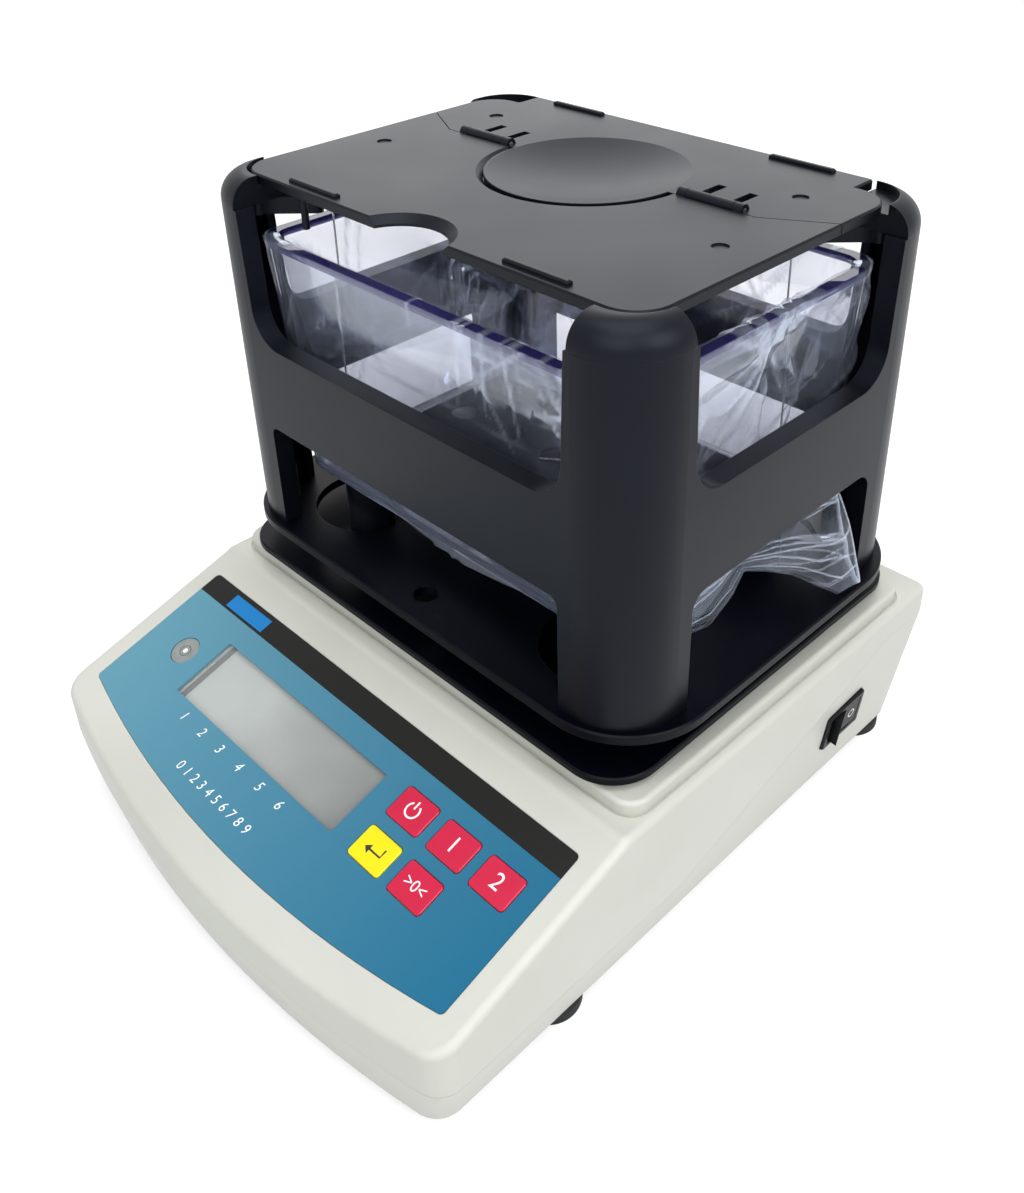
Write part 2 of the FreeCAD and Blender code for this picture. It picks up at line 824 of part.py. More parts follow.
collar_half_x = bezel_length / 2 - bezel_wall
collar_half_y = bezel_height / 2 - bezel_wall
hole_x = collar_half_x + bezel_gap
hole_y = collar_half_y + bezel_gap
switch_hole = block(-hole_x, hole_x, -hole_y, hole_y, -deep, 5)
switch_seat = plate(bezel_length / 2 + bezel_gap, bezel_height / 2 + bezel_gap, bezel_wall, -bezel_sink, 5)
inlet_hole = Part.makeCylinder(inlet_radius + inlet_gap, 2 * deep, V(0, 0, -deep))
cell_y = middle_y - cell_width / 2
cell_end = cell_y + cell_length
cell_half = cell_width / 2
cell_screw_places = [(0, cell_end - cell_screw_end - cell_screw_pitch * i) for i in (0, 1)]
main_board_left = -half_width + main_board_from_side
main_board_right = -cell_half - main_board_from_cell
main_board_half = ((main_board_right - main_board_left) / 2, main_board_depth / 2)
main_board_middle = ((main_board_left + main_board_right) / 2, main_board_y)
main_board_places = [
    (main_board_middle[0] + sx * (main_board_half[0] - main_board_screw_inset),
     main_board_middle[1] + sy * (main_board_half[1] - main_board_screw_inset)) for sx, sy in corners]
main_board_z = floor_top + main_board_lift
foot_bore = stud_radius + running_gap
floor_screws = boss_places + cell_screw_places

lower_solid = lower_block(0, base_bottom).cut(lower_block(wall, floor_top)).fuse(lip())
lower_solid = lower_solid.fuse(bores(main_board_places, floor_top - 1, main_board_z, stand_radius))
lower_cuts = bores(foot_places.values(), 0, floor_top + 5, foot_bore)
lower_cuts += bores(floor_screws, 0, floor_top + 5)
lower_cuts += bores(floor_screws, 0, base_bottom + head_pocket, screw_head_radius + head_gap)
lower_cuts += bores(main_board_places, floor_top, main_board_z + 1)
lower_cuts += [placed(cutter, side_wall) for cutter in (switch_hole, switch_seat)]
lower_cuts.append(placed(inlet_hole, rear_wall))
for cutter in lower_cuts:
    lower_solid = lower_solid.cut(cutter)
keep("lower_housing", lower_solid.removeSplitter())
head_seat = base_bottom + head_pocket
keep("housing_screws", screws(boss_places, head_seat, floor_top + boss_depth - head_seat))

# ---------------------------------------------------------------------------
# Control panel pieces
# ---------------------------------------------------------------------------
overlay_cuts = [display_slab(0, -2, 2), pin(vial_radius + vial_gap, vial_place, -2, 2)]
overlay_cuts += [key_slab(key_gap, -2, 2, place) for place in key_places.values()]
keep("front_overlay", placed(overlay_slab(0, -overlay_thickness, 0).cut(overlay_cuts), panel))
lens_bottom = -overlay_thickness - lens_thickness
lens = display_slab(lens_margin - overlay_gap, lens_bottom, -overlay_thickness)
keep("display_window", placed(lens, panel))
keep("lcd_panel", placed(display_slab(display_margin, -board_depth, -display_depth), panel))

stem_bottom = -overlay_thickness - key_stem_length
for name, place in key_places.items():
    cap = bevelled(key_slab(0, -overlay_thickness, key_proud, place), key_bevel, at_height(key_proud))
    keep(name, placed(joined([cap, pin(key_stem_radius, place, stem_bottom, -overlay_thickness)]), panel))

board = plate((board_right - board_left) / 2, (board_bottom - board_top) / 2, overlay_corner,
              -board_depth - board_thickness, -board_depth,
              (board_left + board_right) / 2, -(board_top + board_bottom) / 2)
board_cuts = [pin(bore_radius, place, -board_depth - 3, 0) for place in board_screw_places]
keep("display_board", placed(board.cut(board_cuts), panel))
board_screws = screws([(x, -y) for x, y in board_screw_places], -board_depth - board_thickness,
                      board_thickness + board_depth - wall - head_sink, small_head_radius)
keep("board_screws", [placed(one, panel) for one in board_screws])
switch_top = stem_bottom - key_travel - nub_gap
tact_switches = []
for place in key_places.values():
    shell = block(place[0] - tact_half, place[0] + tact_half, -place[1] - tact_half, -place[1] + tact_half,
                  -board_depth, switch_top - nub_height)
    nub = pin(nub_radius, place, switch_top - nub_height, switch_top)
    tact_switches.append(placed(joined([shell, nub]), panel))
keep("key_switches", tact_switches)

vial = pin(vial_radius, vial_place, -vial_length - vial_sunk, -vial_sunk)
flange_top = -wall - nub_gap
flange = pin(vial_flange, vial_place, flange_top - vial_flange_height, flange_top)
keep("level_vial", placed(joined([vial, flange]), panel))

# ---------------------------------------------------------------------------
# Rocker switch and power inlet
# ---------------------------------------------------------------------------
window_half_x = collar_half_x - bezel_wall
window_half_y = collar_half_y - bezel_wall
pivot_depth = -rocker_pivot
bezel_face = plate(bezel_length / 2, bezel_height / 2, bezel_wall, -bezel_sink, bezel_proud)
bezel_face = bevelled(bezel_face, bezel_bevel, at_height(bezel_proud))
collar = block(-collar_half_x, collar_half_x, -collar_half_y, collar_half_y, -collar_depth, 0)
opening = block(-window_half_x, window_half_x, -window_half_y, window_half_y,
                -collar_depth - 1, bezel_proud + 1)
pivot_hole = Part.makeCylinder(trunnion_radius + trunnion_gap, 2 * collar_half_y,
                               V(0, -collar_half_y, pivot_depth), V(0, 1, 0))
keep("switch_bezel", placed(joined([bezel_face, collar]).cut([opening, pivot_hole]), side_wall))

rocker_side = window_half_y - rocker_gap
rocker_low = rocker_half - rocker_draw
keel = rocker_half / 3.5
outline = [
    (-rocker_half, rocker_rise), (0, rocker_waist), (rocker_half, rocker_rise),
    (rocker_low, -rocker_skirt), (keel, -rocker_keel), (-keel, -rocker_keel), (-rocker_low, -rocker_skirt)]
tip = prism([V(x, -rocker_side, z) for x, z in outline], V(0, 2 * rocker_side, 0))
trunnion_reach = rocker_side + rocker_gap + trunnion_length
trunnion = Part.makeCylinder(trunnion_radius, 2 * trunnion_reach,
                             V(0, -trunnion_reach, pivot_depth), V(0, 1, 0))
tip = joined([tip, trunnion])
tip.rotate(V(0, 0, pivot_depth), V(0, 1, 0), rocker_tilt)
keep("rocker", placed(tip, side_wall))

body = block(-collar_half_x, collar_half_x, -collar_half_y, collar_half_y, -switch_depth, -collar_depth)
half_blade = blade_thickness / 2
blades = [block(x - half_blade, x + half_blade, -blade_half_width, blade_half_width,
                -switch_depth - blade_length, -switch_depth) for x in (-blade_x, blade_x)]
keep("switch_body", placed(joined([body] + blades), side_wall))

jack = joined([rod(inlet_flange, 0, inlet_flange_height), rod(inlet_radius, -inlet_length, 0)])
inlet_end = inlet_floor - inlet_length
jack = jack.cut(rod(inlet_bore, inlet_end, inlet_flange_height))
keep("power_inlet", placed(jack.fuse(rod(inlet_pin, inlet_end, 0)), rear_wall))
nut_top = -wall - inlet_nut_gap
nut = rod(nut_radius, nut_top - inlet_nut_height, nut_top)
nut = nut.cut(rod(inlet_radius + running_gap, -inlet_length, 0))
keep("inlet_nut", placed(nut, rear_wall))

# ---------------------------------------------------------------------------
# Levelling feet
# ---------------------------------------------------------------------------
for name, (x, y) in foot_places.items():
    disc = bevelled(rod(foot_radius, 0, foot_height, x, y), foot_bevel, at_height(foot_height))
    keep(name, joined([disc, rod(stud_radius, foot_height, foot_height + stud_length, x, y)]))
foot_nuts = []
for x, y in foot_places.values():
    turns = [math.radians(60 * i) for i in range(6)]
    hexagon = [V(x + nut_radius * math.cos(turn), y + nut_radius * math.sin(turn), floor_top)
               for turn in turns]
    foot_nuts.append(prism(hexagon, V(0, 0, nut_height)).cut(rod(foot_bore, 0, floor_top + beyond, x, y)))
keep("foot_nuts", foot_nuts)

# ---------------------------------------------------------------------------
# Load cell, its base and the pan support
# ---------------------------------------------------------------------------
cell_bottom = floor_top + cell_base_height
cell_top = cell_bottom + cell_height
cell_middle = cell_bottom + cell_height / 2
beam_mid = (cell_y + cell_end) / 2
half_spacing = cell_bore_spacing / 2
cell_base_half = cell_half + cell_base_margin
cell_base = block(-cell_base_half, cell_base_half, cell_end - cell_base_length, cell_end,
                  floor_top, cell_bottom)
cell_bores = bores(cell_screw_places, 0, cell_bottom + cell_thread)
beam_cuts = cell_bores + [block(-cell_half, cell_half, beam_mid - half_spacing, beam_mid + half_spacing,
                                cell_middle - cell_slot, cell_middle + cell_slot)]
for y in (beam_mid - half_spacing, beam_mid + half_spacing):
    beam_cuts.append(Part.makeCylinder(cell_bore, cell_width, V(-cell_half, y, cell_middle), V(1, 0, 0)))
keep("load_cell_base", cell_base.cut(cell_bores))
keep("load_cell", block(-cell_half, cell_half, cell_y, cell_end, cell_bottom, cell_top).cut(beam_cuts))
keep("load_cell_screws", screws(cell_screw_places, head_seat, cell_bottom + cell_thread - 1 - head_seat))

flange_bottom = plate_bottom - flange_thickness
post = rod(post_radius, cell_top + cell_sink_gap, flange_bottom, 0, middle_y)
flange = bevelled(rod(flange_radius, flange_bottom, plate_bottom, 0, middle_y), flange_bevel,
                  at_height(flange_bottom))
flange_spread = flange_screw_circle * math.sqrt(0.5)
flange_screw_places = [(flange_spread * sx, middle_y + flange_spread * sy) for sx, sy in corners]
keep("pan_support", joined([post, flange]).cut(bores(flange_screw_places, flange_bottom, plate_bottom)))

# ---------------------------------------------------------------------------
# Main board
# ---------------------------------------------------------------------------
board_face = main_board_z + board_thickness
main_board = [
    plate(*main_board_half, main_board_corner, main_board_z, board_face, *main_board_middle)]
for size, height, shift in (
        (chip_size, chip_height, chip_shift),
        (converter_size, converter_height, converter_shift)):
    x = main_board_middle[0] + shift[0] - size / 2
    y = main_board_middle[1] + shift[1] - size / 2
    main_board.append(block(x, x + size, y, y + size, board_face, board_face + height))
keep("main_board", joined(main_board).cut(bores(main_board_places, main_board_z, board_face)))
keep("main_board_screws", screws(main_board_places, board_face, board_thickness + main_board_lift - 1,
                                 small_head_radius, True))

# ---------------------------------------------------------------------------
# Bench plate, spacers and tank pillars
# ---------------------------------------------------------------------------
bench = plate(half_width - bench_plate_side, pad_half_y + bench_plate_overhang, bench_plate_corner,
              bench_plate_bottom, bench_plate_top, y=middle_y)
bench = bevelled(bench, plate_edge, at_height(bench_plate_top))
bench = bench.cut(rod(post_radius + post_clearance, pad_top, bench_plate_top + 1, 0, middle_y))
keep("bench_plate", bench.cut(bores(pillar_places, pad_top, bench_plate_top + 1)))
thread_top = bench_plate_top + pillar_thread
spacers = []
pillars = []
for x, y in pillar_places:
    bore = rod(bore_radius, pad_top - wall, thread_top + head_sink, x, y)
    spacers.append(rod(spacer_radius, pad_top, bench_plate_bottom, x, y).cut(bore))
    column = rod(pillar_radius, bench_plate_top, pillar_top_z, x, y)
    pillars.append(bevelled(column, pillar_edge, at_height(pillar_top_z)).cut(bore))
keep("plate_spacers", spacers)
keep("tank_pillars", pillars)
keep("pillar_pads", bores(pillar_places, pillar_top_z, pads_top, pillar_radius - pillar_pad_inset))
keep("pillar_screws", screws(pillar_places, pad_top - wall, thread_top - pad_top + wall))

# ---------------------------------------------------------------------------
# Weighing plate
# ---------------------------------------------------------------------------
corner_spread = frame_boss_inset * math.sqrt(0.5)
frame_centre_x = frame_half_x - frame_corner
frame_centre_y = frame_half_y - frame_corner
frame_boss_x = frame_centre_x + corner_spread
frame_boss_y = frame_centre_y + corner_spread
frame_boss_places = [(sx * frame_boss_x, middle_y + sy * frame_boss_y) for sx, sy in corners]
weigh = plate(plate_half_x, plate_half_y, plate_corner, plate_bottom, plate_top, y=middle_y)
weigh = bevelled(weigh, plate_edge, at_height(plate_top))
weigh_cuts = bores(pillar_places, plate_bottom, plate_top, pillar_hole_radius)
weigh_cuts += bores(flange_screw_places + frame_boss_places, plate_bottom, plate_top)
drain_place = (0, middle_y - plate_half_y + drain_from_front)
weigh_cuts += bores([drain_place], plate_bottom, plate_top, drain_hole_radius)
keep("weighing_plate", weigh.cut(weigh_cuts))
keep("plate_screws", screws(flange_screw_places, plate_top, plate_thickness + flange_thickness - 0.5,
                            screw_head_radius, True))
keep("frame_screws", screws(frame_boss_places, plate_bottom, plate_thickness + frame_boss_height - 3))


# ---------------------------------------------------------------------------
# Lid outlines, used by the lid, the flap and the caps that hold them
# ---------------------------------------------------------------------------
lid_tab_half = lid_half_x - lid_tab_inset
seam_half = lid_half_x - seam_inset
rib_front_y = middle_y + lid_front + rib_front
rib_rear_y = middle_y + lid_tab_rear - rib_rear


def lid_slab():
    """The whole lid: a rounded plate with a tab along its rear edge."""
    rear = middle_y + lid_rear
    main = block(-lid_half_x, lid_half_x, middle_y + lid_front, rear, lid_bottom, lid_top)
    tab = block(-lid_tab_half, lid_tab_half, middle_y, middle_y + lid_tab_rear, lid_bottom, lid_top)
    tab = rounded(tab, lid_tab_corner, lambda e: upright(e) and midpoint(e).y > rear)
    whole = rounded(main, lid_corner, upright).fuse(tab).removeSplitter()
    return bevelled(whole, lid_edge, at_height(lid_top))


def flap_side(gap):
    """Everything in front of the seam, with its slanting ends."""
    far = lid_half_x + beyond
    slope = (seam_rear_y - seam_y) / seam_inset
    seam = middle_y + seam_y - gap
    end = seam + slope * (far - seam_half)
    front = middle_y + lid_front - beyond
    outline = [(-far, end), (-seam_half, seam), (seam_half, seam), (far, end), (far, front), (-far, front)]
    return prism([V(x, y, lid_bottom) for x, y in outline], V(0, 0, lid_thickness))


def seat(z0, z1):
    """The space the lid drops into, between the corner caps."""
    side = lid_half_x + seat_gap
    space = block(-side, side, middle_y + lid_front - seat_gap, middle_y + lid_tab_rear + seat_gap, z0, z1)
    space = rounded(space, lid_corner + seat_gap, lambda e: upright(e) and midpoint(e).y < middle_y)
    return rounded(space, seat_rear_corner, lambda e: upright(e) and midpoint(e).y > middle_y)


def bar_x(radius, x0, x1, y, z):
    """A cylinder along X, in either order of its ends."""
    return Part.makeCylinder(radius, abs(x1 - x0), V(min(x0, x1), y, z), V(1, 0, 0))


def half_rib(x0, x1, y):
    """A half-round rib along X, standing on the lid."""
    left, right = sorted((x0, x1))
    low = lid_top - lid_thickness / 2
    upper = block(left, right, y - rib_radius, y + rib_radius, low, lid_top + rib_radius)
    return bar_x(rib_radius, left, right, y, lid_top).common(upper)


def square_rib(x0, x1, y):
    """A plain rib along X with bevelled edges."""
    left, right = sorted((x0, x1))
    rib = block(left, right, y - rib_half_width, y + rib_half_width, lid_top - 1, lid_top + rib_height)
    return bevelled(rib, rib_bevel, at_height(lid_top + rib_height))


# ---------------------------------------------------------------------------
# Measuring frame and the domed caps on its posts
# ---------------------------------------------------------------------------
def frame_slab(inset, z0, z1):
    """The frame's outline as a full block."""
    return plate(frame_half_x - inset, frame_half_y - inset, frame_corner - inset, z0, z1, y=middle_y)


def window(half, lean, z0, z1, across_x):
    """A cutter through two opposite walls, its sides leaning out towards the top."""
    outline = [(-half, z0), (half, z0), (half + lean, z1), (-half - lean, z1)]
    far = frame_half_x + beyond
    if across_x:
        return prism([V(a, middle_y - far, z) for a, z in outline], V(0, 2 * far, 0))
    return prism([V(-far, middle_y + a, z) for a, z in outline], V(2 * far, 0, 0))


def round_level(cutter, radius, z):
    """Round the cutter's two corners at one height, all the way through."""
    through = 2 * (frame_half_x + beyond)
    return rounded(cutter, radius, lambda e: at_height(z)(e) and abs(e.Length - through) < 0.001)


def frame_windows(grow):
    """All four lower and four upper windows."""
    low = plate_top - 1
    lower_top = rail_bottom + grow
    upper_low = rail_top - grow
    cutters = []
    for across_x, size, lower_radius, upper_post in (
            (True, frame_half_x, lower_window_radius_x, upper_post_x),
            (False, frame_half_y, lower_window_radius_y, upper_post_y)):
        lower = window(size - lower_post + grow, 0, low, lower_top, across_x)
        upper = window(size - upper_post + grow, window_lean, upper_low, cap_step_z, across_x)
        cutters.append(round_level(lower, lower_radius + grow, lower_top))
        cutters.append(round_level(upper, upper_window_radius + grow, upper_low))
    return cutters


returns = frame_slab(0, plate_top, cap_step_z).cut(frame_slab(frame_return, plate_top, cap_step_z))
grown = frame_windows(return_width)
returns = returns.common(grown[0].fuse(grown[1:]))
frame = frame_slab(0, plate_top, cap_step_z).cut(frame_slab(frame_wall, plate_top, cap_step_z))
boss_top = plate_top + frame_boss_height
frame = frame.fuse([returns] + bores(frame_boss_places, plate_top, boss_top, frame_boss_radius))
frame = frame.cut(frame_windows(0) + bores(frame_boss_places, plate_top, boss_top - 2))
keep("measuring_frame", frame.removeSplitter())

cap_x = frame_half_x - upper_post_x + window_lean + cap_step
cap_y = frame_half_y - upper_post_y + window_lean + cap_step
far = frame_half_x + beyond
caps = frame_slab(0, cap_step_z, cap_top)
caps = rounded(caps, cap_dome, at_height(cap_top)).cut([
    block(-cap_x, cap_x, middle_y - far, middle_y + far, cap_step_z, cap_top),
    block(-far, far, middle_y - cap_y, middle_y + cap_y, cap_step_z, cap_top),
    seat(lid_bottom, cap_top)])
keep("corner_caps", caps.Solids)

# ---------------------------------------------------------------------------
# Basket: arms, hanging wire and tray
# ---------------------------------------------------------------------------
wire_z = arm_bottom_z + arm_height / 2
tray_bottom = tank_bottom + tank_wall + tray_clearance
run_z = tray_bottom - wire_radius
arm_spread = arm_root_inset * math.sqrt(0.5)


def wire_path():
    """Centre line: out of one arm, down, across under the tray, up and into the other arm."""
    outward = V(*arm_past_wire, 0).normalize() * wire_end
    left = V(-wire_x, middle_y - wire_y, 0)
    right = V(wire_x, middle_y + wire_y, 0)
    top = V(0, 0, wire_z)
    low = V(0, 0, run_z)
    points = [left - outward + top, left + top, left + low, right + low, right + top, right + outward + top]
    edges = []
    start = points[0]
    for before, corner, after in zip(points, points[1:], points[2:]):
        back = (before - corner).normalize()
        ahead = (after - corner).normalize()
        middle = corner + (back + ahead) * (wire_bend * (1 - math.sqrt(0.5)))
        enter = corner + back * wire_bend
        leave = corner + ahead * wire_bend
        edges.append(Part.makeLine(start, enter))
        edges.append(Part.Arc(enter, middle, leave).toShape())
        start = leave
    edges.append(Part.makeLine(start, points[-1]))
    return Part.Wire(edges), points[0], outward


def wire_solid(radius):
    """The bent wire as a solid of one radius."""
    path, start, heading = wire_path()
    ring = Part.Wire(Part.makeCircle(radius, start, heading))
    return path.makePipeShell([ring], True, True)


arms = []
for sign in (-1, 1):
    root = V(sign * (frame_centre_x + arm_spread), middle_y + sign * (frame_centre_y + arm_spread), 0)
    end = V(sign * (wire_x + arm_past_wire[0]), middle_y + sign * (wire_y + arm_past_wire[1]), 0)
    run = end - root
    bar = block(0, run.Length, -arm_half_width, arm_half_width, arm_bottom_z, arm_top_z)
    bar.rotate(V(0, 0, 0), V(0, 0, 1), math.degrees(math.atan2(run.y, run.x)))
    bar.translate(root)
    round_end = rod(arm_half_width, arm_bottom_z, arm_top_z, end.x, end.y)
    root_post = rod(arm_root_radius, arm_bottom_z, cap_step_z, root.x, root.y)
    arms.append(joined([bar, round_end, root_post]).cut(wire_solid(wire_radius + wire_gap)))
keep("basket_arms", arms)
keep("basket_wire", wire_solid(wire_radius))
tray = plate(tray_half_x, tray_half_y, tray_corner, tray_bottom, tray_bottom + tray_thickness, y=middle_y)
columns = int((tray_half_x - tray_pitch / 2) / tray_pitch)
rows = int((tray_half_y - tray_pitch / 2) / tray_pitch)
tray_places = [(i * tray_pitch, middle_y + j * tray_pitch)
               for i in range(-columns, columns + 1) for j in range(-rows, rows + 1)]
keep("basket_tray", tray.cut(bores(tray_places, tray_bottom, tray_bottom + tray_thickness, tray_hole)))

# ---------------------------------------------------------------------------
# Lid: rear lid with the dish, front flap and the hinge between them
# ---------------------------------------------------------------------------
hinge_y = middle_y + seam_y + rib_radius
dish_centre_y = middle_y + dish_y
bowl_radius = (dish_radius ** 2 + dish_depth ** 2) / (2 * dish_depth)
bowl_centre = V(0, dish_centre_y, lid_top - dish_depth + bowl_radius)
tongue_radius = dish_radius + dish_rim
ring_gap = tongue_radius + seam_gap
rib_inner = tongue_radius + rib_from_dish
rib_outer = lid_half_x - rib_side
eyes = (rib_inner, rib_outer - eye_length)
lid_low = lid_bottom - 1
lid_high = lid_top + rib_radius + 1
dish_low = lid_top - dish_depth - dish_shell

rear = lid_slab().cut(flap_side(0))
dish_shell_ball = Part.makeSphere(bowl_radius + dish_shell, bowl_centre)
below = dish_shell_ball.common(rod(tongue_radius, dish_low - 1, lid_bottom + 0.1, 0, dish_centre_y))
rear = rear.fuse([rod(tongue_radius, lid_bottom, lid_top, 0, dish_centre_y), below])
bowl_space = rod(dish_radius, lid_top - dish_depth - 1, lid_high, 0, dish_centre_y)
rear_cuts = [Part.makeSphere(bowl_radius, bowl_centre).common(bowl_space)]
flap = lid_slab().common(flap_side(seam_gap))
notch_radius = (notch_half ** 2 + notch_depth ** 2) / (2 * notch_depth)
notch_y = middle_y + lid_front + notch_depth - notch_radius
flap_cuts = [
    rod(notch_radius, lid_low, lid_high, 0, notch_y),
    rod(ring_gap, lid_low, lid_high, 0, dish_centre_y),
    Part.makeCone(notch_radius, notch_radius + notch_bevel, notch_bevel_depth,
                  V(0, notch_y, lid_top - notch_bevel_depth)),
    Part.makeCone(ring_gap, dish_bevel_radius, dish_bevel_depth,
                  V(0, dish_centre_y, lid_top - dish_bevel_depth))]
rear_ribs = []
flap_adds = [rod(peg_radius, lid_bottom - peg_length, lid_bottom + 1, peg_inset - lid_half_x, rib_front_y)]
hinge_eyes = []
hinge_pins = []
for side in (-1, 1):
    first = side * (rib_inner + eye_length + eye_gap)
    last = side * (rib_outer - eye_length - eye_gap)
    rear_ribs.append(half_rib(first, last, hinge_y))
    rear_ribs.append(square_rib(side * rib_inner, side * rib_outer, rib_rear_y))
    flap_adds.append(square_rib(side * rib_inner, side * rib_outer, rib_front_y))
    flap_cuts.append(bar_x(rib_radius + hinge_gap, side * rib_inner, side * rib_outer, hinge_y, lid_top))
    rear_cuts.append(bar_x(pin_radius + pin_gap, side * rib_inner, side * rib_outer, hinge_y, lid_top))
    hinge_pins.append(bar_x(pin_radius, side * rib_inner, side * rib_outer, hinge_y, lid_top))
    for eye in eyes:
        left, right = sorted((side * eye, side * (eye + eye_length)))
        rear_cuts.append(bar_x(rib_radius + hinge_gap, left - eye_gap, right + eye_gap, hinge_y, lid_top))
        rear_cuts.append(block(left - eye_gap, right + eye_gap, hinge_y - rib_radius - 1, hinge_y,
                               lid_low, lid_high))
        neck = block(left, right, hinge_y - rib_radius - eye_neck, hinge_y, lid_top - rib_radius, lid_top)
        ring = joined([bar_x(rib_radius, left, right, hinge_y, lid_top), neck])
        hinge_eyes.append(ring.cut(bar_x(pin_radius + pin_gap, left, right, hinge_y, lid_top)))
    for x in slot_x:
        rear_cuts.append(block(side * x - slot_width / 2, side * x + slot_width / 2, middle_y + slot_front_y,
                               middle_y + slot_rear_y, lid_low, lid_high))
    rear_cuts.append(rod(dimple_radius, lid_top - dimple_depth, lid_high,
                         side * (lid_half_x - lid_dimple_inset), middle_y + lid_dimple_y))
    flap_cuts.append(rod(dimple_radius, lid_top - dimple_depth, lid_high,
                         side * (lid_half_x - flap_dimple_inset), middle_y + flap_dimple_y))
keep("rear_lid", rear.fuse(rear_ribs).cut(rear_cuts).removeSplitter())
keep("front_flap", flap.cut(flap_cuts).fuse(flap_adds + hinge_eyes).removeSplitter())
keep("hinge_pins", hinge_pins)


# ---------------------------------------------------------------------------
# Water tank and its film bag
# ---------------------------------------------------------------------------
def tank_block(inset, z0, z1, corner):
    """The tank's tapering outline, larger at the top, as a full block."""
    rings = []
    for z in (z0, z1):
        taper = (tank_rim - z) * math.tan(math.radians(tank_draft))
        slab = plate(tank_half_x - inset - taper, tank_half_y - inset - taper, corner, z, z + 1, y=middle_y)
        rings.append([face for face in slab.Faces if abs(face.CenterOfMass.z - z) < 0.001][0].OuterWire)
    return Part.makeLoft(rings, True, True)


tank = rounded(tank_block(0, tank_bottom, tank_rim, tank_corner), tank_foot_radius, at_height(tank_bottom))
rim = tank_block(-rim_width, tank_rim - rim_height, tank_rim, tank_corner + rim_width)
water_space = tank_block(tank_wall, tank_bottom + tank_wall, tank_rim, tank_corner - tank_wall)
keep("tank", tank.fuse(rim).cut(water_space).removeSplitter())
bag_top = tank_rim - bag_top_drop
bag = tank_block(-film_gap - film, pads_top, bag_top, tank_corner + film_gap + film)
keep("tank_bag", bag.cut(tank_block(-film_gap, tank_bottom, bag_top, tank_corner + film_gap)))
tail_rings = []
for x, (near, far, low, high) in (
        (tank_half_x - tail_overlap, tail_start), (frame_half_x - tail_overlap, tail_neck),
        (half_width - tail_overlap / 2, tail_tip)):
    outline = ((near, low), (far, low), (far, high), (near, high))
    points = [V(x, middle_y + frame_half_y - y, plate_top + z) for y, z in outline]
    tail_rings.append(Part.makePolygon(points + points[:1]))
tank_space = tank_block(-2 * film_gap - film, pads_top - 5, bag_top, tank_corner)
keep("bag_tail", Part.makeLoft(tail_rings, True, True).cut(tank_space))

os.makedirs("parts", exist_ok=True)
for name, shape in made.items():
    shape.exportStep("parts/" + name + ".step")
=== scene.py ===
"""Benchtop density meter: its surfaces, printed panel, water tank and film bag, in metres."""
import bmesh
import bpy
import math
import random
from mathutils import Matrix, Vector


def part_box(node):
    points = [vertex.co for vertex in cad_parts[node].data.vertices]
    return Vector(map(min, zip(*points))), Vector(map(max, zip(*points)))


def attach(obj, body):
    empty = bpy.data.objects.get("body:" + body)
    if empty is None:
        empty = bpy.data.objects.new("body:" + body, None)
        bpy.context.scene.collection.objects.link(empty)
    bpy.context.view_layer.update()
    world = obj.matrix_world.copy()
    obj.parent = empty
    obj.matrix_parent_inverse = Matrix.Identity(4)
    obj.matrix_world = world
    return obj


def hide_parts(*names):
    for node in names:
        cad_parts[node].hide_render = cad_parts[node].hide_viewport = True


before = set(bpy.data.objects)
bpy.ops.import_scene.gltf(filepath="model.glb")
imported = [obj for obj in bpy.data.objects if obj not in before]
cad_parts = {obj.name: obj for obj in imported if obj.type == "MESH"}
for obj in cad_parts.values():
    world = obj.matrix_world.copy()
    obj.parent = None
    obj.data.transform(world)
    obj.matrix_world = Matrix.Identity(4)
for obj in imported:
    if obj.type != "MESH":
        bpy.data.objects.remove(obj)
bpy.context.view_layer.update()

# ---------------------------------------------------------------------------
# Camera: about 0.4 m from the meter, above its right front corner, and rolled a little. The focal
# length and the centre of the lens are in pixels of the whole image
# ---------------------------------------------------------------------------
image_width = 1024
image_height = 1193
focal_length = 1202.94
centre_across = 534.42
centre_down = 419.01
azimuth = math.radians(46.02)
pitch = math.radians(29.77)
roll = math.radians(-1.4)
camera_place = Vector((0.2399, -0.2057, 0.3144))

lens = bpy.data.cameras.new("camera")
lens.sensor_width = 36.0
lens.lens = lens.sensor_width * focal_length / image_height
lens.shift_x = (image_width / 2 - centre_across) / image_height
lens.shift_y = (centre_down - image_height / 2) / image_height
lens.clip_start = 0.01
camera = bpy.data.objects.new("camera", lens)
turn = Matrix.Rotation(azimuth, 4, "Z") @ Matrix.Rotation(math.pi / 2 - pitch, 4, "X")
camera.matrix_world = Matrix.Translation(camera_place) @ turn @ Matrix.Rotation(roll, 4, "Z")
bpy.context.collection.objects.link(camera)
bpy.context.scene.camera = camera
bpy.context.scene.view_settings.view_transform = "Standard"

# ---------------------------------------------------------------------------
# Studio: the meter stands on a bench of white paper, matt so that it holds a soft shadow and
# mirrors nothing, in a pale room with four soft lamps. Bench and room look white where they are
# seen straight, mirrored or through the tank, and light the meter less brightly than they look
# ---------------------------------------------------------------------------
bench_size = 14.0
room_colour = "#f2f4f6"
room_strength = 0.42
bench_colour = "#c6c6c6"
bench_glow = 0.56               # under the lamps
far_glow = 0.86                 # past the reach of the lamps
lamp_reach = 0.5
glow_reach = bench_size / 4     # where the glow is at its full strength


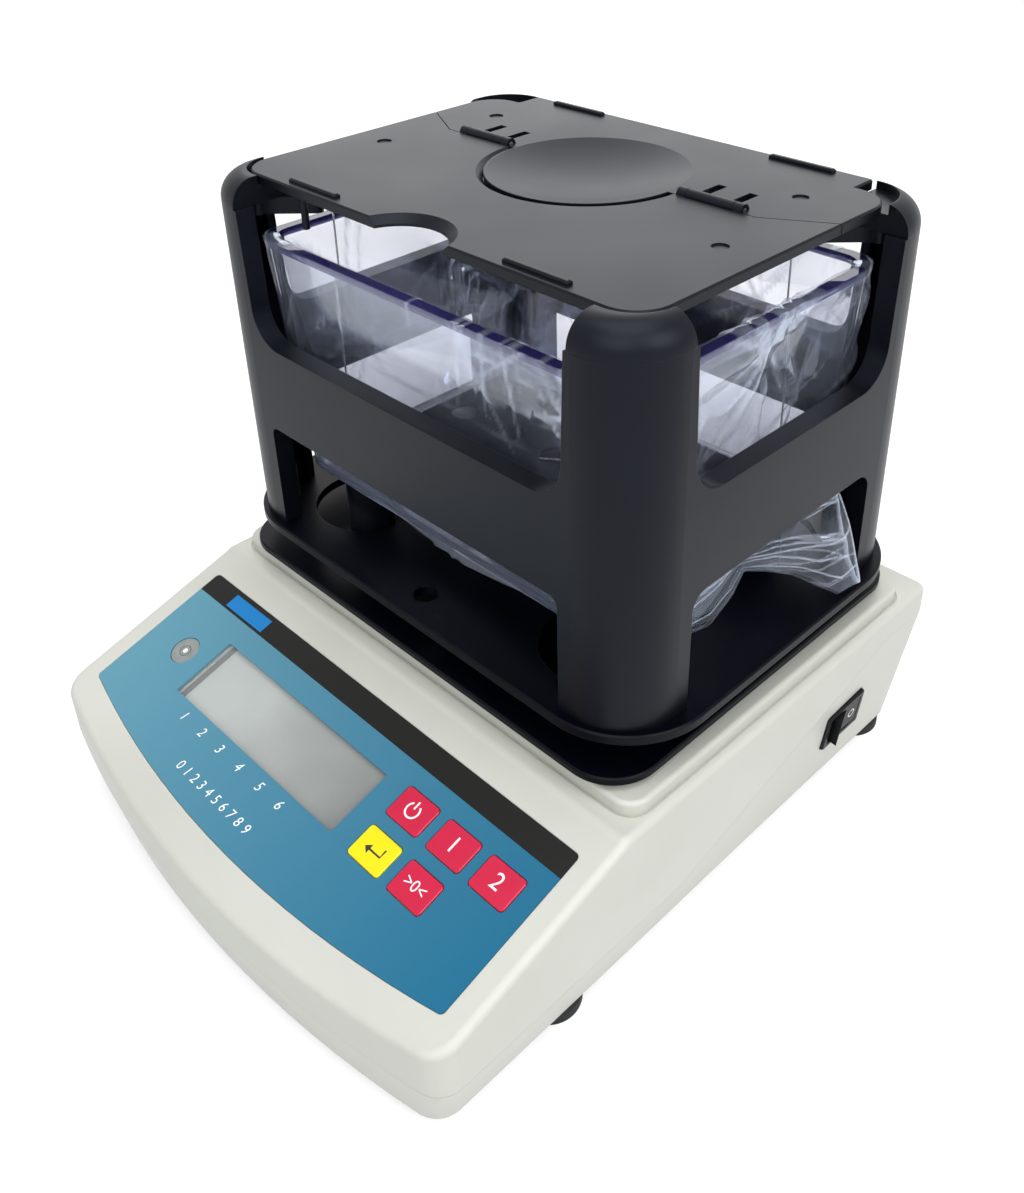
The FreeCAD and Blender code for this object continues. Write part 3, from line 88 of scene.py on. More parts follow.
def linear(colour):
    """An sRGB hex colour as linear red, green, blue and alpha."""
    parts = [int(colour[i:i + 2], 16) / 255 for i in (1, 3, 5)]
    return [c / 12.92 if c <= 0.04045 else ((c + 0.055) / 1.055) ** 2.4 for c in parts] + [1.0]


def node(tree, kind, settings=None, inputs=None):
    """Add one shader node, with its settings and what goes into its sockets."""
    made = tree.nodes.new("ShaderNode" + kind)
    for name, value in (settings or {}).items():
        setattr(made, name, value)
    for name, value in (inputs or {}).items():
        if isinstance(value, bpy.types.NodeSocket):
            tree.links.new(value, made.inputs[name])
        else:
            made.inputs[name].default_value = value
    return made


def new_material(name, sockets):
    """A material with its shader's own sockets set."""
    made = bpy.data.materials.new(name)
    made.use_nodes = True
    shader = made.node_tree.nodes["Principled BSDF"]
    for socket, value in sockets.items():
        shader.inputs[socket].default_value = value
    return made, made.node_tree, shader


def new_mesh(name, points, faces, smooth=False):
    """A new object from corner points and faces."""
    mesh = bpy.data.meshes.new(name)
    mesh.from_pydata(points, [], faces)
    mesh.validate()
    if smooth:
        mesh.shade_smooth()
    made = bpy.data.objects.new(name, mesh)
    bpy.context.collection.objects.link(made)
    return made


def bright_rays(tree):
    """1 for rays that show the white surroundings, straight, mirrored or through the tank."""
    path = node(tree, "LightPath")
    direct = node(tree, "Math", {"operation": "MAXIMUM"},
                  {0: path.outputs["Is Camera Ray"], 1: path.outputs["Is Glossy Ray"]})
    through = node(tree, "Math", {"operation": "MAXIMUM"},
                   {0: direct.outputs[0], 1: path.outputs["Is Transmission Ray"]})
    return through.outputs[0]


world = bpy.data.worlds.new("pale_room")
world.use_nodes = True
bpy.context.scene.world = world
tree = world.node_tree
tree.nodes.clear()
seen = bright_rays(tree)
room = node(tree, "Background", None, {"Color": linear(room_colour), "Strength": room_strength})
backdrop = node(tree, "Background", None, {"Color": (1, 1, 1, 1), "Strength": 1.0})
mixed = node(tree, "MixShader", None, {0: seen, 1: room.outputs[0], 2: backdrop.outputs[0]})
node(tree, "OutputWorld", None, {"Surface": mixed.outputs[0]})

half = bench_size / 2
bench_corners = [(-half, -half, 0), (half, -half, 0), (half, half, 0), (-half, half, 0)]
bench = new_mesh("white_bench", bench_corners, [(0, 1, 2, 3)])
paper, tree, shader = new_material("white_paper", {
    "Base Color": linear(bench_colour), "Roughness": 0.9})
place = node(tree, "TexCoord").outputs["Object"]
outward = node(tree, "VectorMath", {"operation": "LENGTH"}, {0: place})
glowing = node(tree, "MapRange", None, {
    "Value": outward.outputs["Value"], "From Min": lamp_reach, "From Max": glow_reach,
    "To Min": bench_glow, "To Max": far_glow})
lit = node(tree, "Math", {"operation": "MULTIPLY"},
           {0: bright_rays(tree), 1: glowing.outputs["Result"]})
glow = node(tree, "Emission", None, {"Color": (1, 1, 1, 1), "Strength": lit.outputs[0]})
both = node(tree, "AddShader", None, {0: shader.outputs[0], 1: glow.outputs[0]})
tree.links.new(both.outputs[0], tree.nodes["Material Output"].inputs["Surface"])
bench.data.materials.append(paper)

lamps = [
    # name, place, size, watts
    ("lamp_front", (0.6, -1.0, 0.9), 1.0, 7.5),
    ("lamp_right", (1.1, 0.0, 0.8), 0.8, 7.5),
    ("lamp_top", (0.15, -0.1, 1.4), 1.0, 9.0),
    ("lamp_back", (-0.85, 0.9, 0.85), 1.1, 5.2)]
lit_centre = Vector((0, 0, 0.1))
for name, lamp_place, size, watts in lamps:
    light = bpy.data.lights.new(name, "AREA")
    light.size = size
    light.energy = watts
    lamp = bpy.data.objects.new(name, light)
    lamp.location = lamp_place
    lamp.rotation_euler = (lit_centre - Vector(lamp_place)).to_track_quat("-Z", "Y").to_euler()
    bpy.context.collection.objects.link(lamp)


# ---------------------------------------------------------------------------
# Housing: two injection moulded shells of pale grey ABS, screwed together from below along the
# slanting parting line. Their mould was spark eroded to a fine matt grain, which gives the warm
# grey a wide, soft sheen and no mirror image
# ---------------------------------------------------------------------------
mm = 0.001
housing_colour = "#cbccc4"
housing_shade = "#c4c5bc"
housing_grain = 0.45 * mm       # the mould's grain is about 0.1 mm; drawn coarser so that it shows
edge_softness = 0.35 * mm       # moulded and coated edges are never quite sharp
cloud_size = 60 * mm            # colour drifts slowly over a moulding
gloss_swing = 0.04


def coat(material, *names):
    """Give CAD nodes a material."""
    for name in names:
        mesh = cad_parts[name].data
        mesh.materials.clear()
        mesh.materials.append(material)


def moulded_skin(tree, shader, colours, grain, depth, roughness):
    """A moulded surface: cloudy colour, fine grain, softened edges and uneven gloss."""
    place = node(tree, "TexCoord")
    clouds = node(tree, "TexNoise", None,
                  {"Vector": place.outputs["Object"], "Scale": 1 / cloud_size, "Detail": 3.0})
    tint = node(tree, "ValToRGB", None, {"Fac": clouds.outputs["Fac"]})
    for stop, share, colour in zip(tint.color_ramp.elements, (0.35, 0.65), colours):
        stop.position = share
        stop.color = linear(colour)
    fine = node(tree, "TexNoise", None,
                {"Vector": place.outputs["Object"], "Scale": 1 / grain, "Detail": 2.0})
    soft = node(tree, "Bevel", {"samples": 4}, {"Radius": edge_softness})
    bump = node(tree, "Bump", None, {
        "Height": fine.outputs["Fac"], "Distance": depth, "Strength": 1.0,
        "Normal": soft.outputs["Normal"]})
    gloss = node(tree, "MapRange", None, {
        "Value": clouds.outputs["Fac"], "From Min": 0.3, "From Max": 0.7,
        "To Min": roughness - gloss_swing, "To Max": roughness + gloss_swing})
    tree.links.new(tint.outputs["Color"], shader.inputs["Base Color"])
    tree.links.new(gloss.outputs["Result"], shader.inputs["Roughness"])
    tree.links.new(bump.outputs["Normal"], shader.inputs["Normal"])


housing_abs, tree, shader = new_material("matt_grey_moulded_abs", {"IOR": 1.53})
moulded_skin(tree, shader, (housing_shade, housing_colour), housing_grain,
             depth=0.012 * mm, roughness=0.40)
coat(housing_abs, "upper_housing", "lower_housing")

# ---------------------------------------------------------------------------
# Measuring frame, caps, lid, arms and pillars: injection moulded black ABS from a satin mould,
# put together with screws and hinge pins. It is a deep black that turns a little blue grey where
# light grazes it
# ---------------------------------------------------------------------------
black_colour = "#090c12"
black_shade = "#07090e"
black_grain = 0.30 * mm         # real grain is under 0.1 mm; drawn coarser so that it shows

black_abs, tree, shader = new_material("satin_black_moulded_abs", {
    "IOR": 1.53, "Specular IOR Level": 0.19, "Specular Tint": linear("#dde6fa")})
moulded_skin(tree, shader, (black_shade, black_colour), black_grain,
             depth=0.010 * mm, roughness=0.38)
coat(black_abs, "measuring_frame", "corner_caps", "rear_lid", "front_flap", "basket_arms",
     "tank_pillars")

# ---------------------------------------------------------------------------
# Weighing plate, screwed on the load cell's post, and bench plate, screwed down on spacers: cut
# aluminium with rounded edges under a smooth black powder coat, which gives a deep navy black with
# a thin bright line of light along the edge
# ---------------------------------------------------------------------------
plate_colour = "#03050e"
plate_shade = "#02030a"
coat_texture = 0.8 * mm         # orange peel of the powder coat

black_plate, tree, shader = new_material("black_powder_coated_aluminium", {
    "IOR": 1.5, "Specular IOR Level": 0.1})
moulded_skin(tree, shader, (plate_shade, plate_colour), coat_texture,
             depth=0.012 * mm, roughness=0.36)
coat(black_plate, "weighing_plate", "bench_plate")

# ---------------------------------------------------------------------------
# Front panel: a polycarbonate film, printed on its back in teal with a black band along the top
# edge and a plain blue patch in it, and glued into its recess. With the ink under the film, the
# colours look even and deep below a soft satin shine. The teal is painted paler towards the left
# end as a painted reflection; the ink itself is the darker teal throughout
# ---------------------------------------------------------------------------
panel_tilt = math.radians(17.08)
film_thickness = 0.8 * mm
film_texture = 0.4 * mm         # the film's texture is under 0.1 mm; drawn coarser so that it shows
teal = "#10678a"
# the paler teal at the left end is a painted reflection, not the ink's own colour
teal_painted_reflection = "#5d94a8"
band_colour = "#0b0a08"
patch_colour = "#0c7cc2"
band_depth = 7.9 * mm
patch_left = -74.0 * mm
patch_right = -53.0 * mm
patch_top = 1.6 * mm
patch_bottom = 6.9 * mm

overlay_low, overlay_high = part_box("front_overlay")
panel_up = Vector((0, math.cos(panel_tilt), math.sin(panel_tilt)))
panel_out = Vector((0, -math.sin(panel_tilt), math.cos(panel_tilt)))
panel_top = Vector((0, overlay_high.y - film_thickness * math.sin(panel_tilt), overlay_high.z))
panel = Matrix((
    (1, 0, 0, panel_top.x),
    (0, panel_up.y, panel_out.y, panel_top.y),
    (0, panel_up.z, panel_out.z, panel_top.z),
    (0, 0, 0, 1)))


def between(tree, value, low, high):
    """1 where a value lies between two limits, else 0."""
    over = node(tree, "Math", {"operation": "GREATER_THAN"}, {0: value, 1: low})
    under = node(tree, "Math", {"operation": "LESS_THAN"}, {0: value, 1: high})
    inside = node(tree, "Math", {"operation": "MULTIPLY"}, {0: over.outputs[0], 1: under.outputs[0]})
    return inside.outputs[0]


printed_film, tree, shader = new_material("printed_polycarbonate_film", {
    "Roughness": 0.24, "IOR": 1.58, "Specular IOR Level": 0.2})
place = node(tree, "TexCoord").outputs["Object"]
from_top = node(tree, "VectorMath", {"operation": "SUBTRACT"}, {0: place, 1: panel_top})
down = node(tree, "VectorMath", {"operation": "DOT_PRODUCT"},
            {0: from_top.outputs["Vector"], 1: -panel_up})
across = node(tree, "SeparateXYZ", None, {0: place}).outputs["X"]
wide = node(tree, "MapRange", None, {
    "Value": across, "From Min": overlay_low.x, "From Max": overlay_high.x})
# ground: the ink's teal, painted paler towards the left end as a painted reflection
ground = node(tree, "Mix", {"data_type": "RGBA"},
              {"Factor": wide.outputs["Result"], "A": linear(teal_painted_reflection), "B": linear(teal)})
in_band = between(tree, down.outputs["Value"], -1.0, band_depth)
banded = node(tree, "Mix", {"data_type": "RGBA"},
              {"Factor": in_band, "A": ground.outputs["Result"], "B": linear(band_colour)})
in_patch = node(tree, "Math", {"operation": "MULTIPLY"}, {
    0: between(tree, down.outputs["Value"], patch_top, patch_bottom),
    1: between(tree, across, patch_left, patch_right)})
patched = node(tree, "Mix", {"data_type": "RGBA"},
               {"Factor": in_patch.outputs[0], "A": banded.outputs["Result"], "B": linear(patch_colour)})
tree.links.new(patched.outputs["Result"], shader.inputs["Base Color"])
emboss = node(tree, "TexNoise", None, {"Vector": place, "Scale": 1 / film_texture, "Detail": 1.0})
bump = node(tree, "Bump", None, {"Height": emboss.outputs["Fac"], "Distance": 0.004 * mm})
tree.links.new(bump.outputs["Normal"], shader.inputs["Normal"])
coat(printed_film, "front_overlay")

# ---------------------------------------------------------------------------
# Numbers on the panel: screen printed, one for each set-up mark below the display and a row of
# plain figures under them. The white ink is flat and matt, and faintly uneven as the printing
# screen lays it down
# ---------------------------------------------------------------------------
print_height = 0.02 * mm
ink_speckle = 0.3 * mm          # the screen's threads are 0.1 mm apart; drawn coarser so that it shows
mark_size = 4.6 * mm
mark_places = {
    # millimetres across from the panel's top middle and down from it
    "1": (-47.4, 42.6), "2": (-36.8, 42.6), "3": (-26.6, 42.6),
    "4": (-15.9, 42.6), "5": (-4.7, 42.6), "6": (5.5, 42.6)}
row_text = "0123456789"
row_place = (-14.5, 53.6)


def two_tone(name, sockets, patch, colours, detail=2.0):
    """A material that drifts between two nearly equal colours, in patches of a real size."""
    made, tree, shader = new_material(name, sockets)
    place = node(tree, "TexCoord").outputs["Object"]
    clouds = node(tree, "TexNoise", None, {"Vector": place, "Scale": 1 / patch, "Detail": detail})
    tint = node(tree, "ValToRGB", None, {"Fac": clouds.outputs["Fac"]})
    for stop, colour in zip(tint.color_ramp.elements, colours):
        stop.color = linear(colour)
    tree.links.new(tint.outputs["Color"], shader.inputs["Base Color"])
    return made


def print_text(name, text, size, across, down, height, material, slant=0.0, spread=1.0):
    """Flat figures printed on the panel, at a place in millimetres from the film's top edge."""
    letters = bpy.data.curves.new(name, "FONT")
    letters.body = text
    letters.size = size
    letters.align_x = "CENTER"
    letters.align_y = "CENTER"
    letters.shear = slant
    letters.resolution_u = 3
    letters.space_character = spread
    letters.materials.append(material)
    made = bpy.data.objects.new(name, letters)
    bpy.context.collection.objects.link(made)
    made.matrix_world = panel @ Matrix.Translation((across * mm, -down * mm, height))
    return made


white_ink = two_tone("white_screen_ink", {"Roughness": 0.35}, ink_speckle, ("#e4e9ec", "#f6f8f9"))
for text, (x, down_panel) in mark_places.items():
    mark = print_text("panel_mark_" + text, text, mark_size, x, down_panel, print_height, white_ink,
                      slant=0.25)
    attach(mark, "housing")
row = print_text("panel_figures", row_text, mark_size, *row_place, print_height, white_ink,
                 slant=0.15, spread=1.75)
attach(row, "housing")

# ---------------------------------------------------------------------------
# Display: a liquid crystal glass, unlit, under a clear acrylic window. The window is nearly
# unseen, with a thin even veil; the glass is a smooth grey, painted paler towards its left end as
# a painted reflection and darker towards its right end as painted shade, with a painted shadow at
# both ends where the walls of its recess shade it
# ---------------------------------------------------------------------------
# pale end: the glass's grey with a painted reflection; dark end: painted shade
display_grey_and_painted_reflection = "#b4b9b5"
display_painted_shade = "#3c3f3b"
# a painted shadow of the recess walls: a darker grey at both ends of the glass
recess_shadow_colour = "#4e5458"
recess_shadow_width = 2.0 * mm
window_ripple = 30 * mm
display_cloud = 25 * mm
display_low, display_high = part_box("lcd_panel")
display_middle = (display_low + display_high) / 2
display_half = (display_high - display_low) / 2

clear_acrylic, tree, shader = new_material("clear_acrylic_window", {
    "Base Color": linear("#dfe4e4"), "IOR": 1.49, "Roughness": 0.08})
place = node(tree, "TexCoord").outputs["Object"]
ripple = node(tree, "TexNoise", None, {"Vector": place, "Scale": 1 / window_ripple})
veil = node(tree, "MapRange", None, {"Value": ripple.outputs["Fac"], "To Min": 0.10, "To Max": 0.16})
tree.links.new(veil.outputs["Result"], shader.inputs["Alpha"])
coat(clear_acrylic, "display_window")

display_glass, tree, shader = new_material("grey_liquid_crystal_glass", {
    "Roughness": 0.22, "IOR": 1.52})
place = node(tree, "TexCoord").outputs["Object"]
offset = node(tree, "VectorMath", {"operation": "SUBTRACT"}, {0: place, 1: display_middle})
apart = node(tree, "VectorMath", {"operation": "ABSOLUTE"}, {0: offset.outputs["Vector"]})
from_middle = node(tree, "SeparateXYZ", None, {0: apart.outputs["Vector"]})
# where the painted shadow of the recess walls lies on the glass
in_recess_shadow = node(tree, "Math", {"operation": "GREATER_THAN"},
               {0: from_middle.outputs["X"], 1: display_half.x - 2 * recess_shadow_width})
clouds = node(tree, "TexNoise", None, {"Vector": place, "Scale": 1 / display_cloud, "Detail": 1.0})
side = node(tree, "SeparateXYZ", None, {0: offset.outputs["Vector"]}).outputs["X"]
# fade: painted reflection towards the left end, painted shade towards the right end
fade = node(tree, "MapRange", None, {
    "Value": side, "From Min": display_high.x - display_middle.x,
    "From Max": display_low.x - display_middle.x, "To Min": -0.25, "To Max": 1.1})
cloudy = node(tree, "MapRange", None, {"Value": clouds.outputs["Fac"], "To Max": 0.5})
depth = node(tree, "Math", {"operation": "ADD"},
             {0: fade.outputs["Result"], 1: cloudy.outputs["Result"]})
greys = node(tree, "ValToRGB", None, {"Fac": depth.outputs[0]})
greys.color_ramp.elements[0].color = linear(display_painted_shade)
greys.color_ramp.elements[1].color = linear(display_grey_and_painted_reflection)
bordered = node(tree, "Mix", {"data_type": "RGBA"},
                {"Factor": in_recess_shadow.outputs[0], "A": greys.outputs["Color"], "B": linear(recess_shadow_colour)})
tree.links.new(bordered.outputs["Result"], shader.inputs["Base Color"])
coat(display_glass, "lcd_panel")

# ---------------------------------------------------------------------------
# Level: a round acrylic vial of spirit, pressed in under the hole in the panel's film. It is a
# pale, slightly cloudy grey with a glassy shine, with a thin printed ring in black and one small
# white bubble
# ---------------------------------------------------------------------------
vial_place = (-70.2, 27.2)      # millimetres from the panel's top middle
vial_sunk = 0.3 * mm
spirit_colours = ("#77807f", "#979c99")
spirit_cloud = 3 * mm
bubble_radius = 0.9 * mm
ring_radius = 2.1 * mm
ring_width = 0.22 * mm
pinhole = 0.02 * mm             # the bubble's disc is closed but for this

spirit = two_tone("pale_spirit_in_acrylic", {"Roughness": 0.08, "IOR": 1.49}, spirit_cloud,
                  spirit_colours)
coat(spirit, "level_vial")


def disc(name, radius, hole, height, segments=40):
    """A flat ring or disc round the panel's own upright axis."""
    shape = bmesh.new()
    rings = []
    for size in (radius, hole):
        angles = [2 * math.pi * i / segments for i in range(segments)]
        rings.append([shape.verts.new((size * math.cos(a), size * math.sin(a), height)) for a in angles])
    for i in range(segments):
        j = (i + 1) % segments
        shape.faces.new((rings[0][i], rings[0][j], rings[1][j], rings[1][i]))
    mesh = bpy.data.meshes.new(name)
    shape.to_mesh(mesh)
    shape.free()
    made = bpy.data.objects.new(name, mesh)
    bpy.context.collection.objects.link(made)
    return made


vial_frame = panel @ Matrix.Translation((vial_place[0] * mm, -vial_place[1] * mm, -vial_sunk))
black_ink = two_tone("black_screen_ink", {"Roughness": 0.4}, ink_speckle, ("#141414", "#202020"))
vial_ring = disc("level_ring", ring_radius, ring_radius - ring_width, print_height)
vial_ring.data.materials.append(black_ink)
bubble = disc("level_bubble", bubble_radius, pinhole, 2 * print_height)
bubble.data.materials.append(white_ink)
for piece in (vial_ring, bubble):
    piece.matrix_world = vial_frame
    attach(piece, "housing")

# ---------------------------------------------------------------------------
# Keys: snap-in caps under a glossy printed film, four crimson and one yellow, each with a plain
# sign in white or black ink. The film gives each a strong, nearly even colour with a soft
# highlight
# ---------------------------------------------------------------------------
key_red = ("#c60b3c", "#cf1442")
key_yellow = ("#f2dc00", "#fae404")
key_cloud = 6 * mm
sign_height = 0.4 * mm + print_height     # on top of the cap, which stands 0.4 mm off the panel
sign_size = 7.0 * mm
long_sign = 0.7                 # a sign of more than one figure is smaller by this
sign_line = 0.6 * mm
key_places = {
    # millimetres across from the panel's top middle and down from it
    "key_power": (41.0, 19.1), "key_one": (58.45, 19.1), "key_two": (75.9, 19.1),
    "key_enter": (41.0, 33.9), "key_zero": (58.45, 33.9)}

key_gloss = {"Roughness": 0.26, "IOR": 1.58, "Specular IOR Level": 0.3}
crimson_film = two_tone("crimson_key_film", key_gloss, key_cloud, key_red, detail=1.0)
yellow_film = two_tone("yellow_key_film", key_gloss, key_cloud, key_yellow, detail=1.0)
coat(crimson_film, "key_power", "key_one", "key_two", "key_zero")
coat(yellow_film, "key_enter")


def strip(name, route, width, closed=False):
    """A flat printed line along a route of points in the panel's own frame."""
    points = []
    faces = []
    count = len(route)
    for i, (x, y) in enumerate(route):
        before = route[i - 1] if i or closed else route[i]
        after = route[(i + 1) % count] if i < count - 1 or closed else route[i]
        run = Vector((after[0] - before[0], after[1] - before[1]))
        side = Vector((-run.y, run.x)).normalized() * (width / 2)
        points += [(x + side.x, y + side.y, 0), (x - side.x, y - side.y, 0)]
    for i in range(count if closed else count - 1):
        j = (i + 1) % count
        faces.append((2 * i, 2 * i + 1, 2 * j + 1, 2 * j))
    return new_mesh(name, points, faces)


def power_sign(name):
    """A ring, broken at its top, with a bar in the gap."""
    radius = 2.3 * mm
    gap = 70
    steps = 28
    turns = [math.radians(90 + gap / 2 + (360 - gap) * i / steps) for i in range(steps + 1)]
    ring = strip(name, [(radius * math.cos(a), radius * math.sin(a)) for a in turns], sign_line)
    bar = strip(name + "_bar", [(0, 0.5 * mm), (0, 3.1 * mm)], sign_line)
    return [ring, bar]


def return_sign(name):
    """A bent arrow."""
    line = strip(name, [(3.0 * mm, 2.0 * mm), (3.0 * mm, -0.6 * mm), (-1.6 * mm, -0.6 * mm)], sign_line)
    head = new_mesh(name + "_head", [(-3.4 * mm, -0.6 * mm, 0), (-1.4 * mm, -2.1 * mm, 0),
                                     (-1.4 * mm, 0.9 * mm, 0)], [(0, 1, 2)])
    return [line, head]


signs = {"key_power": power_sign("sign_power"), "key_enter": return_sign("sign_return")}
for name, text in (("key_one", "1"), ("key_two", "2"), ("key_zero", ">0<")):
    size = sign_size if len(text) == 1 else long_sign * sign_size
    figure = print_text("sign_" + name, text, size, *key_places[name], sign_height, white_ink)
    signs[name] = [figure]
for name, pieces in signs.items():
    x, down_panel = key_places[name]
    on_key = panel @ Matrix.Translation((x * mm, -down_panel * mm, sign_height))
    for piece in pieces:
        if piece.type == "MESH":
            piece.data.materials.append(black_ink if name == "key_enter" else white_ink)
            piece.matrix_world = on_key
        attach(piece, name)

# ---------------------------------------------------------------------------
# Rocker switch: moulded black nylon snapped into the side wall, with a white bar and ring printed
# on the rocker's two faces for on and off; the inlet at the back is the same nylon. It is a plain
# black with a low sheen, a little duller than the frame
# ---------------------------------------------------------------------------
nylon_colours = ("#0a0b0e", "#0f1014")
nylon_grain = 0.5 * mm          # real grain is about 0.1 mm; drawn coarser so that it shows
mark_radius = 1.5 * mm
mark_line = 0.45 * mm
ring_steps = 24
outward_face = 0.6              # a face of the rocker whose normal leans out at least this much

black_nylon, tree, shader = new_material("satin_black_nylon", {
    "IOR": 1.53, "Specular IOR Level": 0.15})
moulded_skin(tree, shader, nylon_colours, nylon_grain, depth=0.006 * mm, roughness=0.42)
coat(black_nylon, "switch_bezel", "rocker", "switch_body", "power_inlet")

rocker_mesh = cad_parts["rocker"].data
rocker_low, rocker_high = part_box("rocker")
rocker_middle = (rocker_low + rocker_high) / 2
for name, end in (("rocker_mark_on", -1), ("rocker_mark_off", 1)):
    end_faces = [face for face in rocker_mesh.polygons
                 if face.normal.x > outward_face and (face.center.y - rocker_middle.y) * end > 0]
    top = max(end_faces, key=lambda face: face.area)
    mark_y = rocker_middle.y + end * (rocker_high.y - rocker_low.y) / 4
    on_face = top.center + Vector((0, mark_y - top.center.y, rocker_middle.z - top.center.z))
    on_face.x -= (on_face - top.center).dot(top.normal) / top.normal.x
    if end < 0:
        mark = strip(name, [(-mark_radius, 0), (mark_radius, 0)], mark_line)
    else:
        turns = [2 * math.pi * i / ring_steps for i in range(ring_steps)]
        ring = [(mark_radius * math.cos(a), mark_radius * math.sin(a)) for a in turns]
        mark = strip(name, ring, mark_line, True)
    mark.matrix_world = (Matrix.Translation(on_face + top.normal * 2 * print_height)
                         @ top.normal.to_track_quat("Z", "Y").to_matrix().to_4x4())
    mark.data.materials.append(white_ink)
    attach(mark, "rocker")

# ---------------------------------------------------------------------------
# Feet and tank pads: moulded in black rubber, with a fine dusty bloom that makes them a matt,
# slightly grey black with hardly a highlight
# ---------------------------------------------------------------------------
rubber_colours = ("#141516", "#1b1c1d")
rubber_bloom = 0.7 * mm         # dust and bloom are finer; drawn coarser so that they show

rubber, tree, shader = new_material("black_moulded_rubber", {"IOR": 1.5, "Specular IOR Level": 0.35})
moulded_skin(tree, shader, rubber_colours, rubber_bloom, depth=0.03 * mm, roughness=0.72)
coat(rubber, "foot_front_left", "foot_front_right", "foot_rear_left", "foot_rear_right",
     "pillar_pads")

# ---------------------------------------------------------------------------
# Metal inside and underneath: milled aluminium beam and posts, turned and zinc plated screws and
# nuts, drawn stainless wires and a punched, blackened stainless tray. Each shows its tool's fine
# lines, which stretch its highlights across them; the blackened tray doesn't glare under water
# ---------------------------------------------------------------------------


def metal(name, colour, roughness, scratch, stretch):
    """A metal with tool or drawing marks along one direction, coarser than real so that they show."""
    made, tree, shader = new_material(name, {"Base Color": linear(colour), "Metallic": 1.0})
    place = node(tree, "TexCoord").outputs["Object"]
    along = node(tree, "Mapping", None, {"Vector": place, "Scale": stretch})
    marks = node(tree, "TexNoise", None,
                 {"Vector": along.outputs["Vector"], "Scale": 1 / scratch, "Detail": 3.0})
    gloss = node(tree, "MapRange", None, {
        "Value": marks.outputs["Fac"], "To Min": roughness - 2 * gloss_swing,
        "To Max": roughness + 2 * gloss_swing})
    bump = node(tree, "Bump", None, {"Height": marks.outputs["Fac"], "Distance": 0.004 * mm})
    tree.links.new(gloss.outputs["Result"], shader.inputs["Roughness"])
    tree.links.new(bump.outputs["Normal"], shader.inputs["Normal"])
    return made


aluminium = metal("milled_aluminium", "#c3c4c6", roughness=0.35, scratch=1.5 * mm, stretch=(1, 0.1, 1))
coat(aluminium, "load_cell", "load_cell_base", "pan_support", "plate_spacers")
zinc = metal("zinc_plated_steel", "#b9bcc0", roughness=0.32, scratch=0.8 * mm, stretch=(1, 1, 0.3))
coat(zinc, "housing_screws", "board_screws", "load_cell_screws", "main_board_screws",
     "pillar_screws", "plate_screws", "frame_screws", "foot_nuts", "inlet_nut", "hinge_pins")
bright_steel = metal("drawn_stainless_steel", "#b4b4b2", roughness=0.28, scratch=0.6 * mm,
                     stretch=(1, 1, 0.1))
coat(bright_steel, "basket_wire")
dark_steel = metal("blackened_stainless_steel", "#2b303b", roughness=0.34, scratch=0.6 * mm,
                   stretch=(1, 0.2, 1))
coat(dark_steel, "basket_tray")

# ---------------------------------------------------------------------------
# Circuit boards and the switches on them: glass fibre board under a green solder mask, held by
# small screws. The mask is a smooth, half glossy green, and tinned pads show through it as small
# bright spots
# ---------------------------------------------------------------------------
pad_pitch = 2.54 * mm
pad_share = 0.18                # a pad's radius, as a share of the pitch
pad_colour = "#b9b8ad"
mask_colour = "#0d5a2b"

solder_mask, tree, shader = new_material("green_solder_mask", {"Roughness": 0.3})
place = node(tree, "TexCoord").outputs["Object"]
pads = node(tree, "TexVoronoi", {"feature": "F1"},
            {"Vector": place, "Scale": 1 / pad_pitch, "Randomness": 0.2})
spots = node(tree, "ValToRGB", None, {"Fac": pads.outputs["Distance"]})
spots.color_ramp.interpolation = "CONSTANT"
spots.color_ramp.elements[0].color = linear(pad_colour)
spots.color_ramp.elements[1].position = pad_share
spots.color_ramp.elements[1].color = linear(mask_colour)
tree.links.new(spots.outputs["Color"], shader.inputs["Base Color"])
coat(solder_mask, "display_board", "main_board", "key_switches")

# ---------------------------------------------------------------------------
# Water tank: one clear polycarbonate moulding with a rolled rim, standing loose on its pillars.
# Its walls are clear with slow waves from the moulding; looked at along a wall or an edge it is
# violet blue, and the rim, which pipes light along itself, is dark violet
# ---------------------------------------------------------------------------
tank_tint = "#8f95cc"
tint_density = 45.0             # per metre: faint through a wall, strong along an edge
wall_colour = "#f7f8fb"
rim_colour = "#35336f"
rim_clear = 0.35
rim_band = 2.6 * mm
rim_start = 0.15                # within this share of the band the rim takes over from the wall
mould_wave = 45 * mm
tank_low, tank_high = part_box("tank")
rim_z = tank_high.z

clear_tank, tree, shader = new_material("clear_violet_polycarbonate", {
    "Transmission Weight": 1.0, "IOR": 1.45, "Roughness": 0.02})
place = node(tree, "TexCoord").outputs["Object"]
height = node(tree, "SeparateXYZ", None, {0: place}).outputs["Z"]
up_rim = node(tree, "MapRange", None, {
    "Value": height, "From Min": rim_z - rim_band, "From Max": rim_z})
edge = node(tree, "ValToRGB", None, {"Fac": up_rim.outputs["Result"]})
edge.color_ramp.elements[0].color = linear(wall_colour)
edge.color_ramp.elements[1].color = linear(rim_colour)
edge.color_ramp.elements[1].position = rim_start
clear = node(tree, "MapRange", None, {
    "Value": up_rim.outputs["Result"], "From Max": rim_start, "To Min": 1.0, "To Max": rim_clear})
tree.links.new(edge.outputs["Color"], shader.inputs["Base Color"])
tree.links.new(clear.outputs["Result"], shader.inputs["Transmission Weight"])
flow = node(tree, "TexNoise", None, {"Vector": place, "Scale": 1 / mould_wave, "Detail": 1.0})
bump = node(tree, "Bump", None, {"Height": flow.outputs["Fac"], "Distance": 0.15 * mm})
